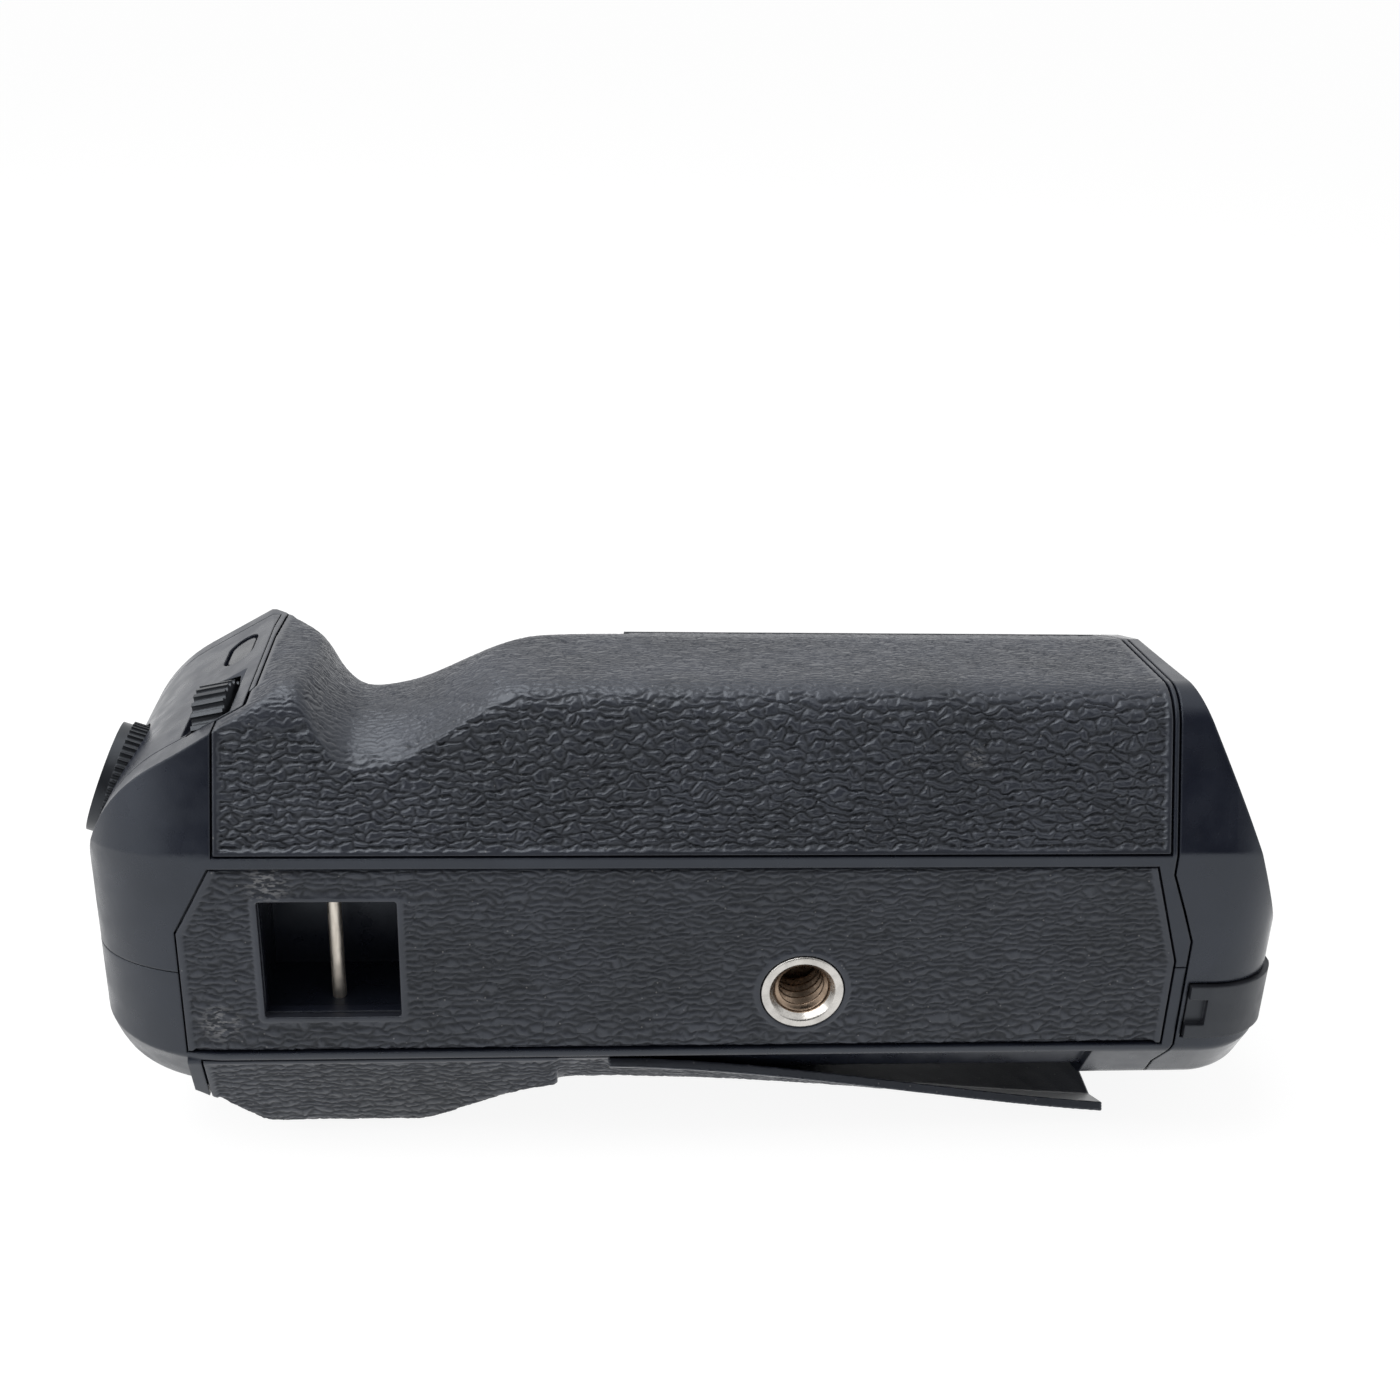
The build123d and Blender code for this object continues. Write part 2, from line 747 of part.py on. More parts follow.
def front_housing(body):
    shell = body & half_space(True)
    shell = shell - panel_region(0) - dial_slot(front_dial_plane())
    return shell + screw_post(column_places()[0], WALL / 2)


def dial_slot(plane):
    """Room round a dial, with the same gap at its rim and at its two faces."""
    half = DIAL_WIDTH / 2 + DIAL_SLOT_GAP
    return extrude(plane.offset(-half) * Circle(DIAL_RADIUS + DIAL_SLOT_GAP), 2 * half)


def dial_ears(plane):
    """Two ears on the inside of the wall, which hold the ends of a dial's axle."""
    outer = DIAL_RADIUS - DIAL_STAND - WALL / 2
    inner = -CHEEK_WIDTH / 2
    shape = Pos(0, (outer + inner) / 2) * Rectangle(CHEEK_WIDTH, outer - inner)
    shape = shape - Circle(DIAL_AXLE + BEARING_GAP)
    near = DIAL_WIDTH / 2 + DIAL_SLOT_GAP
    return [
        extrude(plane.offset(start) * shape, CHEEK_THICK)
        for start in (near, -near - CHEEK_THICK)
    ]


def push_places():
    return [Vector(-PUSH_REACH - PUSH_PITCH * i, PUSH_RISE, -BACK_REAR) for i in range(2)]


def rear_housing(body):
    shell = body & half_space(False)
    low, high = wheel_span()
    sunk = BACK_REAR - SCREW_REAR - WALL
    chord = math.sqrt(WHEEL_RADIUS**2 - sunk**2) + RUN_GAP
    far = REST_REAR + OVERRUN
    shell = shell - block(
        -chord, chord, low - RUN_GAP, high + RUN_GAP, -far, WALL - BACK_REAR + RUN_GAP,
    )
    shell = shell - dial_slot(rear_dial_plane()) + dial_ears(rear_dial_plane())
    for place in push_places():
        shell = shell - along(place, (0, 0, 1), PUSH_RADIUS + PUSH_GAP, -OVERRUN, OVERRUN)
    level = push_board_level()
    middle = (push_places()[0] + push_places()[1]) / 2
    post = along(middle, (0, 0, 1), PUSH_POST, WALL / 2, level + BACK_REAR - SEAT_GAP)
    return shell + post + screw_post(column_places()[1], WALL / 2)


def control_panel():
    """The satin end panel that holds the shutter button, the front dial and a function button."""
    panel = (form(0) - form(WALL)) & panel_region(-SEAM_GAP)
    centre, out = shutter_frame()
    seat = SHOULDER_RADIUS - COLLAR_SINK
    panel = panel - along(centre, out, COLLAR_RADIUS + RUN_GAP, seat, SHOULDER_RADIUS + OVERRUN)
    boss = COLLAR_BORE - BEARING_GAP
    panel = panel + along(centre, out, boss, seat - SHELL / 2, SHOULDER_RADIUS + BOSS_STAND)
    panel = panel - along(centre, out, boss - BOSS_WALL, seat, SHOULDER_RADIUS + OVERRUN)
    panel = panel - along(centre, out, BUTTON_STEM + RUN_GAP, 0, SHOULDER_RADIUS)
    lift = DIAL_SCOOP_RADIUS - DIAL_SCOOP_DEPTH
    scoop = along(
        front_dial_surface() + WALL_NORMAL * lift, WALL_DIRECTION, DIAL_SCOOP_RADIUS,
        -DIAL_SCOOP_WIDTH / 2, DIAL_SCOOP_WIDTH / 2,
    )
    panel = panel + dial_ears(front_dial_plane()) - scoop - dial_slot(front_dial_plane())
    plane = wall_plane(function_place())
    panel = panel - extrude(plane.offset(-FUNCTION_DEPTH) * function_oval(FUNCTION_DISH), OVERRUN)
    panel = panel - extrude(plane.offset(-OVERRUN / 2) * function_oval(PUSH_GAP), OVERRUN)
    return panel + along(
        function_post_place(), WALL_NORMAL, PUSH_POST, board_drop() + SEAT_GAP, -WALL / 2,
    )


def function_oval(margin):
    return SlotOverall(FUNCTION_LENGTH + 2 * margin, FUNCTION_WIDTH + 2 * margin, 90)


def function_post_place():
    """Beside the function button, towards the camera, on the surface of the wall."""
    step = FUNCTION_LENGTH / 2 + FUNCTION_FLANGE + RUN_GAP + PUSH_POST
    return function_place() + Vector(0, step, 0)


def board_drop():
    """Height of a button board's outer face, against the outside of its wall."""
    return -(WALL + RUN_GAP + PUSH_FLANGE_THICK + PUSH_TRAVEL + PUSH_BOARD_PLAY)


def push_board_level():
    return -BACK_REAR - board_drop()


# Leather skins


def skin_layer():
    return form(0) - form(SKIN)


def front_skin(layer):
    return (layer & front_skin_region(0)) - panel_region(SKIN_GAP)


def base_skin(layer):
    skin = layer & prism_y(base_skin_outline(0), -OVERRUN, HEEL_RISE / 2)
    half = STRAP_WINDOW / 2
    skin = skin - block(
        STRAP_X - half, STRAP_X + half, -OVERRUN, OVERRUN, STRAP_Z - half, STRAP_Z + half,
    )
    return skin - along((0, 0, 0), (0, 1, 0), SOCKET_RING / 2 + SEAT_GAP, -OVERRUN, OVERRUN)


def flap_section(x, share):
    """The loose skin in section: a strip that drops from its seat to the table."""
    seated = [
        (BASE_EDGE_RADIUS / 2, -REAR_SKIN_FRONT - SKIN),
        (HEEL_RISE + SKIN / 3, -HEEL_REAR + SKIN / 2),
        (BACK_RISE, -BACK_REAR + SKIN / 2),
        (REAR_SKIN_RISE, -BACK_REAR + SKIN / 2),
    ]
    fallen = [
        (FLAP_LIP_RISE, -FLAP_LIP_REAR),
        (FLAP_TOUCH_RISE, -REST_REAR + SKIN / 2),
        ((FLAP_TOUCH_RISE + REAR_SKIN_RISE) / 2, -REST_REAR + SKIN / 2),
        (REAR_SKIN_RISE, -REST_REAR + SKIN / 2),
    ]
    middle = [
        (a[0] + (b[0] - a[0]) * share, a[1] + (b[1] - a[1]) * share)
        for a, b in zip(seated, fallen)
    ]
    ends = inset_strip(middle, SKIN / 2)
    plane = Plane.YZ.offset(x)
    return plane * make_face(Polyline(*ends, close=True))


def inset_strip(line, half):
    """A closed outline at an even distance on both sides of an open line."""
    sides = ([], [])
    for i, (y, z) in enumerate(line):
        before = line[max(i - 1, 0)]
        after = line[min(i + 1, len(line) - 1)]
        dy, dz = after[0] - before[0], after[1] - before[1]
        length = math.hypot(dy, dz)
        sides[0].append((y - dz / length * half, z + dy / length * half))
        sides[1].append((y + dz / length * half, z - dy / length * half))
    return sides[0] + sides[1][::-1]


def rear_skin(layer):
    glued = layer & rear_skin_region(0, -FLAP_START)
    length = FLAP_START + FLAP_END
    sections = [
        flap_section(length * share - FLAP_START, drop)
        for share, drop in FLAP_SHARES
    ]
    return glued + loft(sections)


# Base fittings


def tripod_socket():
    ring = along((0, 0, 0), (0, 1, 0), SOCKET_RING / 2, -SOCKET_PROUD, SOCKET_LENGTH)
    bore = along((0, 0, 0), (0, 1, 0), SOCKET_THREAD / 2, -OVERRUN, SOCKET_LENGTH - SOCKET_BLIND)
    depth = (SOCKET_MOUTH - SOCKET_THREAD) / 2
    plane = Plane(origin=(0, -SOCKET_PROUD, 0), z_dir=(0, 1, 0))
    mouth = loft([plane * Circle(SOCKET_MOUTH / 2), plane.offset(depth) * Circle(SOCKET_THREAD / 2)])
    return ring - bore - mouth


def base_chassis():
    low = WALL + SEAT_GAP
    plate = block(
        -CHASSIS_START, CHASSIS_END, low, low + CHASSIS_THICK, -CHASSIS_REAR, CHASSIS_FRONT,
    )
    return plate - along((0, 0, 0), (0, 1, 0), SOCKET_RING / 2 + SEAT_GAP, 0, OVERRUN)


def strap_pocket():
    """A deep box behind the window, with a lip all round its mouth."""
    outer = strap_hole(0) - block(
        -CONTROL_REACH, 0, -OVERRUN - CONTROL_REACH, SKIN + SEAT_GAP, -OVERRUN, OVERRUN,
    )
    half = STRAP_WINDOW / 2
    mouth = block(
        STRAP_X - half, STRAP_X + half, -OVERRUN, STRAP_DEPTH, STRAP_Z - half, STRAP_Z + half,
    )
    room = half + STRAP_LIP
    hollow = block(
        STRAP_X - room, STRAP_X + room, STRAP_LIP_DEPTH, STRAP_DEPTH,
        STRAP_Z - room, STRAP_Z + room,
    )
    return outer - mouth - hollow


def strap_bar():
    reach = STRAP_WINDOW / 2 + STRAP_LIP
    return along((STRAP_X, STRAP_BAR_DEPTH, STRAP_Z), (0, 0, 1), STRAP_BAR, -reach, reach)


# Camera side


def contact_reaches():
    pitch = CONTACT_BLOCK_LENGTH / (CONTACT_PIN_COUNT + 1)
    first = -CONTACT_BLOCK_REACH - CONTACT_BLOCK_LENGTH / 2
    return [first + pitch * (i + 1) for i in range(CONTACT_PIN_COUNT)]


def contact_outline(margin, low, high):
    length = CONTACT_BLOCK_LENGTH / 2 + margin
    width = CONTACT_BLOCK_WIDTH / 2 + margin
    middle = -CONTACT_BLOCK_REACH
    return block(
        middle - length, middle + length, low, high,
        -CONTACT_BLOCK_REAR - width, width - CONTACT_BLOCK_REAR,
    )


def pin_places():
    return [Vector(x, 0, PIN_FRONT) for x in (-PIN_SPAN, PIN_SPAN)]


def screw_places():
    return column_places() + boss_places()


def plate_holes(margin, low, high):
    """Cutters for what passes through the mating plate, wider by margin."""
    axis = Vector(0, 1, 0)
    holes = [along((0, 0, -SCREW_REAR), axis, BUSH_RADIUS + margin, low, high)]
    holes += [along(place, axis, PIN_ROOT + margin, low, high) for place in pin_places()]
    return holes + [contact_outline(margin, low, high)]


def lip_start():
    return SEAM_REACH + SEAM_GAP - LIP_LENGTH


def mating_plate():
    low = plate_level()
    side = CONTROL_REACH + OVERRUN
    far = RIDGE_FRONT + OVERRUN
    plate = form(LINER) & block(-side, lip_start() - RUN_GAP, low, BODY_HEIGHT, -far, far)
    plate = plate - plate_holes(SEAT_GAP, low - OVERRUN, BODY_HEIGHT + OVERRUN)
    for place in screw_places():
        head = BODY_HEIGHT - PLATE_SCREW_HEAD
        plate = plate - along(place, (0, 1, 0), PLATE_SCREW_RADIUS + SEAT_GAP, head, BODY_HEIGHT)
        plate = plate - along(place, (0, 1, 0), PLATE_SCREW_SHANK + SEAT_GAP, 0, BODY_HEIGHT)
    return plate


def mating_pad():
    low, high = BODY_HEIGHT, BODY_HEIGHT + PAD_THICK
    side = CONTROL_REACH + OVERRUN
    far = RIDGE_FRONT + OVERRUN
    end = lip_start() - RUN_GAP - LIP_THICK
    pad = form(LINER + LIP_THICK) & block(-side, end, low, high, -far, far)
    pad = pad - plate_holes(PAD_HOLE_GAP, 0, high + OVERRUN)
    for place in screw_places():
        hole = PLATE_SCREW_RADIUS + PAD_HOLE_GAP
        pad = pad - along(place, (0, 1, 0), hole, 0, high + OVERRUN)
    return pad


def contact_block():
    low = plate_level() - SEAT_GAP - CONTACT_FLANGE
    body = contact_outline(0, low, BODY_HEIGHT + CONTACT_BLOCK_STAND)
    body = body + contact_outline(CONTACT_FLANGE, low, low + CONTACT_FLANGE)
    for x in contact_reaches():
        hole = CONTACT_PIN_RADIUS + BEARING_GAP
        body = body - along((x, 0, -CONTACT_BLOCK_REAR), (0, 1, 0), hole, 0, BODY_HEIGHT + OVERRUN)
    return body


def contact_pins():
    low = plate_level() - SEAT_GAP - CONTACT_FLANGE
    high = BODY_HEIGHT + CONTACT_BLOCK_STAND + CONTACT_PIN_STAND
    pins = []
    for x in contact_reaches():
        pin = along((x, 0, -CONTACT_BLOCK_REAR), (0, 1, 0), CONTACT_PIN_RADIUS, low, high)
        tip = pin.edges().group_by(Axis.Y)[-1]
        pins.append(fillet(tip, CONTACT_PIN_RADIUS / 2))
    return pins


def locating_pins():
    level = plate_level()
    pins = []
    for place in pin_places():
        pin = along(place, (0, 1, 0), PIN_RADIUS, level, BODY_HEIGHT + PIN_STAND)
        pin = fillet(pin.edges().group_by(Axis.Y)[-1], PIN_RADIUS / 2)
        pin = pin + along(place, (0, 1, 0), PIN_ROOT, level, BODY_HEIGHT)
        pins.append(pin + along(place, (0, 1, 0), PIN_FLANGE, level - PIN_FLANGE_THICK, level))
    return pins


def plate_screws():
    head = BODY_HEIGHT - PLATE_SCREW_HEAD
    screws = []
    for place in screw_places():
        shank = along(place, (0, 1, 0), PLATE_SCREW_SHANK, head - PLATE_SCREW_LENGTH, head)
        screws.append(shank + along(place, (0, 1, 0), PLATE_SCREW_RADIUS, head, BODY_HEIGHT))
    return screws


def screw_bush():
    place = (0, 0, -SCREW_REAR)
    bush = along(place, (0, 1, 0), BUSH_RADIUS, plate_level(), BODY_HEIGHT)
    return bush - along(place, (0, 1, 0), SCREW_SHAFT + BEARING_GAP, 0, BODY_HEIGHT + OVERRUN)


# Fixing wheel and its screw


def ridged(radius, count, groove):
    """A disc outline with rounded grooves all round its rim."""
    return Circle(radius) - [spot * Circle(groove) for spot in PolarLocations(radius, count)]


def fixing_wheel():
    low, high = wheel_span()
    plane = Plane(origin=(0, low, -SCREW_REAR), z_dir=(0, 1, 0))
    outline = ridged(WHEEL_RADIUS, WHEEL_RIDGES, WHEEL_RIDGE)
    wheel = extrude(plane * outline, high - low)
    thrust = well_top() + SEAT_GAP
    wheel = wheel + along((0, 0, -SCREW_REAR), (0, 1, 0), BUSH_RADIUS, thrust, low)
    return wheel - along((0, 0, -SCREW_REAR), (0, 1, 0), SCREW_SHAFT, 0, high + OVERRUN)


def fixing_screw():
    low, high = wheel_span()
    place = (0, 0, -SCREW_REAR)
    screw = along(place, (0, 1, 0), SCREW_RADIUS, low, BODY_HEIGHT + SCREW_STAND)
    screw = chamfer(screw.edges().group_by(Axis.Y)[-1], SCREW_RADIUS / 4)
    return screw + along(place, (0, 1, 0), SCREW_SHAFT, low, BODY_HEIGHT)


# Shutter button


def switch_top():
    """Outer end of the switch can, measured along the button's axis."""
    return SHOULDER_RADIUS - WALL - SWITCH_DROP


def dome_top():
    return switch_top() - SWITCH_LENGTH + SWITCH_FLOOR + DOME_RISE + DOME_THICK


def shutter_switch():
    centre, out = shutter_frame()
    low = switch_top() - SWITCH_LENGTH
    can = along(centre, out, SWITCH_RADIUS, low, switch_top())
    return can - along(centre, out, SWITCH_BORE, low + SWITCH_FLOOR, switch_top() + OVERRUN)


def shutter_dome():
    """The sprung contact dome on the floor of the switch."""
    centre, out = shutter_frame()
    reach = SWITCH_BORE - RUN_GAP
    radius = (reach**2 + DOME_RISE**2) / (2 * DOME_RISE)
    low = switch_top() - SWITCH_LENGTH + SWITCH_FLOOR
    middle = centre + out * (low + DOME_RISE - radius)
    dome = Pos(middle.X, middle.Y, middle.Z) * Sphere(radius + DOME_THICK)
    dome = dome - Pos(middle.X, middle.Y, middle.Z) * Sphere(radius)
    return dome & along(centre, out, reach, low, low + OVERRUN)


def shutter_button():
    centre, out = shutter_frame()
    low = SHOULDER_RADIUS - COLLAR_SINK + BUTTON_PLAY
    high = SHOULDER_RADIUS + BOSS_STAND + BUTTON_STAND
    radius = COLLAR_BORE - BEARING_GAP - BOSS_WALL - RUN_GAP
    head = along(centre, out, radius, low, high)
    head = fillet(head.edges().filter_by(GeomType.CIRCLE).sort_by(Axis(centre, out))[-1], BUTTON_EDGE)
    middle = centre + out * (high - BUTTON_DISH_DEPTH + BUTTON_DISH)
    head = head - Plane(origin=middle, x_dir=out, z_dir=(0, 1, 0)) * Sphere(BUTTON_DISH)
    foot = dome_top() + BUTTON_TRAVEL + SEAT_GAP
    return head + along(centre, out, BUTTON_STEM, foot, low)


def shutter_collar():
    centre, out = shutter_frame()
    low = SHOULDER_RADIUS - COLLAR_SINK + SEAT_GAP
    high = SHOULDER_RADIUS + COLLAR_STAND
    plane = Plane(origin=centre, z_dir=out)
    smooth = (high - low) / 3
    outline = ridged(COLLAR_RADIUS, COLLAR_RIB_COUNT, COLLAR_RIB)
    collar = extrude(plane.offset(low) * outline, high - low - smooth)
    collar = collar + along(centre, out, COLLAR_RADIUS - COLLAR_RIB, high - smooth, high)
    return collar - along(centre, out, COLLAR_BORE, 0, high + OVERRUN)


# Command dials


def dial(plane):
    outline = ridged(DIAL_RADIUS, DIAL_RIDGES, DIAL_RIDGE) - Circle(DIAL_AXLE + BEARING_GAP)
    return extrude(plane.offset(-DIAL_WIDTH / 2) * outline, DIAL_WIDTH)


def encoder_start():
    return DIAL_WIDTH / 2 + DIAL_SLOT_GAP + CHEEK_THICK + SEAT_GAP


def dial_axle(plane):
    start = -DIAL_WIDTH / 2 - DIAL_SLOT_GAP - CHEEK_THICK
    return extrude(plane.offset(start) * Circle(DIAL_AXLE), encoder_start() + ENCODER_THICK - start)


def dial_encoder(plane):
    ring = Circle(ENCODER_RADIUS) - Circle(DIAL_AXLE + BEARING_GAP)
    return extrude(plane.offset(encoder_start()) * ring, ENCODER_THICK)


# Push buttons


def push_button(place):
    inner = WALL + RUN_GAP
    cap = along(place, (0, 0, 1), PUSH_RADIUS, -PUSH_STAND, inner)
    cap = fillet(cap.edges().group_by(Axis.Z)[0], PUSH_EDGE)
    return cap + along(place, (0, 0, 1), PUSH_FLANGE, inner, inner + PUSH_FLANGE_THICK)


def function_button():
    plane = wall_plane(function_place())
    inner = WALL + RUN_GAP
    cap = extrude(plane.offset(-inner) * function_oval(0), inner - FUNCTION_SUNK)
    flange = plane.offset(-inner - PUSH_FLANGE_THICK) * function_oval(FUNCTION_FLANGE)
    return cap + extrude(flange, PUSH_FLANGE_THICK)


def button_boards():
    level = push_board_level()
    near, far = push_places()
    rear = block(
        far.X - PUSH_FLANGE, near.X + PUSH_FLANGE, PUSH_RISE - PUSH_BOARD_WIDTH / 2,
        PUSH_RISE + PUSH_BOARD_WIDTH / 2, level, level + PUSH_BOARD_THICK,
    )
    start = FUNCTION_RISE - FUNCTION_LENGTH / 2
    end = function_post_place().Y + PUSH_POST
    middle = function_place()
    plane = wall_plane(Vector(middle.X, (start + end) / 2, middle.Z))
    plane = plane.offset(board_drop() - PUSH_BOARD_THICK)
    panel = extrude(plane * Rectangle(FUNCTION_WIDTH, end - start), PUSH_BOARD_THICK)
    return [rear, panel]


# Electronics


def circuit_board():
    low = STRAP_DEPTH + STRAP_WALL + SEAT_GAP
    high = low + BOARD_THICK
    board = block(-BOARD_START, -BOARD_END, low, high, -BOARD_REAR, BOARD_FRONT)
    length = BOARD_START - BOARD_END
    width = BOARD_FRONT + BOARD_REAR
    for x, z, size in CHIP_SHARES:
        half = size * width / 2
        middle = -BOARD_START + length * x
        across = -BOARD_REAR + width * z
        top = high + BOARD_THICK
        board = board + block(middle - half, middle + half, high, top, across - half, across + half)
    return board


def flex_cable():
    """A flat cable from the board up to the contact block."""
    low = STRAP_DEPTH + STRAP_WALL + BOARD_THICK + 2 * SEAT_GAP
    high = plate_level() - 2 * SEAT_GAP - CONTACT_FLANGE
    right = FLEX_THICK + RUN_GAP - BOARD_END
    left = -BOARD_END - FLEX_WIDTH / 2
    points = [
        (left, low),
        (right, low),
        (right, high),
        (right - FLEX_THICK, high),
        (right - FLEX_THICK, low + FLEX_THICK),
        (left, low + FLEX_THICK),
    ]
    middle = -CONTACT_BLOCK_REAR
    face = Plane.XY.offset(middle - FLEX_WIDTH / 2) * make_face(Polyline(*points, close=True))
    return extrude(face, FLEX_WIDTH)


# Battery well and magazine


def well_box(inset):
    """The outside of the well, moved inwards by inset on its four long sides."""
    return (
        WELL_RISE + inset, well_top() - inset,
        inset - WELL_REAR, WELL_FRONT - inset,
    )


def well_end():
    return lip_start() - SEAT_GAP


def battery_well():
    well = block(-WELL_START, well_end(), *well_box(0))
    well = well - block(WELL_WALL - WELL_START, well_end() + OVERRUN, *well_box(WELL_WALL))
    for z in contact_rows():
        hole = CONTACT_STEM + BEARING_GAP
        well = well - along((-WELL_START, pack_rise(), z), (1, 0, 0), hole, -WELL_WALL, 2 * WELL_WALL)
    for place in boss_places():
        well = well + screw_post(place, well_top() - WELL_WALL / 2)
    return well


def pack_rise():
    return (WELL_RISE + well_top()) / 2


def contact_rows():
    middle = (WELL_FRONT - WELL_REAR) / 2
    return [middle - CONTACT_PITCH / 2, middle + CONTACT_PITCH / 2]


def contact_plate(x, z):
    half = CONTACT_SIZE / 2
    rise = pack_rise()
    return block(x, x + CONTACT_THICK, rise - half, rise + half, z - half, z + half)


def well_contacts():
    inner = WELL_WALL - WELL_START
    contacts = []
    for z in contact_rows():
        stem = along((0, pack_rise(), z), (1, 0, 0), CONTACT_STEM, inner - 2 * WELL_WALL, inner)
        contacts.append(contact_plate(inner, z) + stem)
    return contacts


def tray_start():
    return WELL_WALL + TRAY_END_GAP - WELL_START


def cap_face():
    return SEAM_REACH + SEAM_GAP


def magazine_tray():
    sides = well_box(WELL_WALL + RUN_GAP)
    tray = block(tray_start(), cap_face(), *sides)
    low, high, rear, front = well_box(WELL_WALL + RUN_GAP + TRAY_WALL)
    tray = tray - block(
        tray_start() + TRAY_WALL, cap_face() - TRAY_FLANGE, low, high + OVERRUN, rear, front,
    )
    for z in contact_rows():
        hole = CONTACT_STEM + BEARING_GAP
        tray = tray - along((tray_start(), pack_rise(), z), (1, 0, 0), hole, -TRAY_WALL, 2 * TRAY_WALL)
    for y, z in tray_screw_places():
        hole = TRAY_SCREW_SHANK + BEARING_GAP
        tray = tray - along((cap_face(), y, z), (1, 0, 0), hole, -2 * TRAY_FLANGE, TRAY_FLANGE)
    return tray


def tray_screw_places():
    span = WELL_FRONT - LOCK_CAM_HUB
    return [(pack_rise(), span * share) for share in TRAY_SCREW_SHARES]


def battery_contacts():
    contacts = []
    start = tray_start()
    for z in contact_rows():
        stem = along((start, pack_rise(), z), (1, 0, 0), CONTACT_STEM, 0, TRAY_WALL)
        outer = contact_plate(start - CONTACT_THICK, z)
        contacts.append(outer + stem + contact_plate(start + TRAY_WALL, z))
    return contacts


def pack_spring():
    """A bowed leaf on the floor of the tray, which lifts the pack out."""
    floor = WELL_RISE + WELL_WALL + RUN_GAP + TRAY_WALL
    reach = PACK_SPRING_LENGTH / 2
    top = floor + PACK_SPRING_RISE
    under = ThreePointArc((-reach, floor), (0, top - PACK_SPRING_THICK), (reach, floor))
    over = ThreePointArc((-reach - PACK_SPRING_THICK, floor), (0, top), (reach + PACK_SPRING_THICK, floor))
    sides = [Line(under @ 0, over @ 0), Line(under @ 1, over @ 1)]
    middle = (WELL_FRONT - WELL_REAR) / 2
    half = PACK_SPRING_WIDTH / 2
    return extrude(Plane.XY.offset(middle - half) * make_face(Wire([under, over] + sides)), 2 * half)


def tray_screws():
    screws = []
    for y, z in tray_screw_places():
        start = (cap_face(), y, z)
        shank = along(start, (1, 0, 0), TRAY_SCREW_SHANK, -TRAY_FLANGE, CAP_FLOOR)
        head = along(start, (1, 0, 0), TRAY_SCREW_HEAD, CAP_FLOOR, CAP_FLOOR + TRAY_SCREW_SHANK)
        screws.append(shank + head)
    return screws


def door_gasket():
    start, end = lip_start() + GASKET_GAP - SEAT_GAP, cap_face()
    ring = block(start, end, *well_box(0))
    return ring - block(start - OVERRUN, end + OVERRUN, *well_box(WELL_WALL))


def cap_inner_plate():
    """The plate that closes the cap and carries the tray."""
    face = cap_face()
    plate = block(face, face + CAP_FLOOR, *well_box(0))
    for y, z in tray_screw_places():
        hole = TRAY_SCREW_SHANK + BEARING_GAP
        plate = plate - along((face, y, z), (1, 0, 0), hole, -OVERRUN, OVERRUN)
    return plate


def door_surface():
    """Reach of the door's end wall at the lock."""
    foot = DOOR_FOOT_DRAFT / 2
    return DOOR_REACH - foot * (DOOR_KNEE + LOCK_REAR) / (DOOR_KNEE + BACK_REAR)


def lock_seat():
    return door_surface() - LOCK_SINK


def port_region(gap):
    return block(
        PORT_START - gap, DOOR_REACH + OVERRUN, -OVERRUN, PORT_END_RISE + gap,
        -PORT_REAR - gap, PORT_FRONT + gap,
    )


def jack_front():
    return DOOR_REACH - SKIN - 2 * RUN_GAP - DOOR_FOOT_DRAFT / 2


def magazine_end_cap():
    side = RIDGE_FRONT + OVERRUN
    far = DOOR_REACH + OVERRUN
    cap = form(0) & door_side(SEAM_GAP)
    cap = cap + (form(LINER) & block(lip_start(), far, 0, BODY_HEIGHT, -side, side))
    cap = cap - (
        form(LINER + LIP_THICK)
        & block(0, cap_face(), 0, BODY_HEIGHT - SHELL, -side, side)
    )
    low, high, rear, front = well_box(-SEAT_GAP)
    cap = cap - block(0, cap_face() + CAP_FLOOR, low, high, rear, front)
    cap = cap - (
        form(LINER + LIP_THICK)
        & block(0, far, CAP_HOLLOW_BASE, CAP_HOLLOW_FAR, -CAP_HOLLOW_REAR, CAP_HOLLOW_FRONT)
    )
    place = (0, LOCK_RISE, -LOCK_REAR)
    cap = cap - along(place, (1, 0, 0), LOCK_RADIUS + RUN_GAP, lock_seat(), far)
    cap = cap - along(place, (1, 0, 0), LOCK_SHAFT + BEARING_GAP, 0, far)
    jack = (0, JACK_RISE, (PORT_FRONT - PORT_REAR) / 2)
    cap = cap - along(jack, (1, 0, 0), JACK_RADIUS + SEAT_GAP, JACK_BACK, far)
    cap = cap - (port_region(PORT_GAP) - form(SKIN + RUN_GAP))
    return cap


def dc_jack():
    place = (0, JACK_RISE, (PORT_FRONT - PORT_REAR) / 2)
    jack = along(place, (1, 0, 0), JACK_RADIUS, JACK_BACK, jack_front())
    bore = along(place, (1, 0, 0), JACK_BORE, JACK_BACK + JACK_BORE, jack_front() + OVERRUN)
    pin = along(place, (1, 0, 0), JACK_BORE / 3, JACK_BACK, jack_front() - JACK_BORE)
    return jack - bore + pin


def dc_port_cover():
    """The rubber cover that wraps from the base round to the end wall."""
    cover = (form(-PORT_PROUD) - form(SKIN)) & port_region(0)
    half = (PORT_FRONT + PORT_REAR) / 4
    middle = (PORT_FRONT - PORT_REAR) / 2
    nail = block(
        PORT_START - OVERRUN, PORT_START + PORT_NAIL_LENGTH, -PORT_PROUD - OVERRUN,
        PORT_NAIL - PORT_PROUD, middle - half, middle + half,
    )
    return cover - nail


# Lock of the battery door


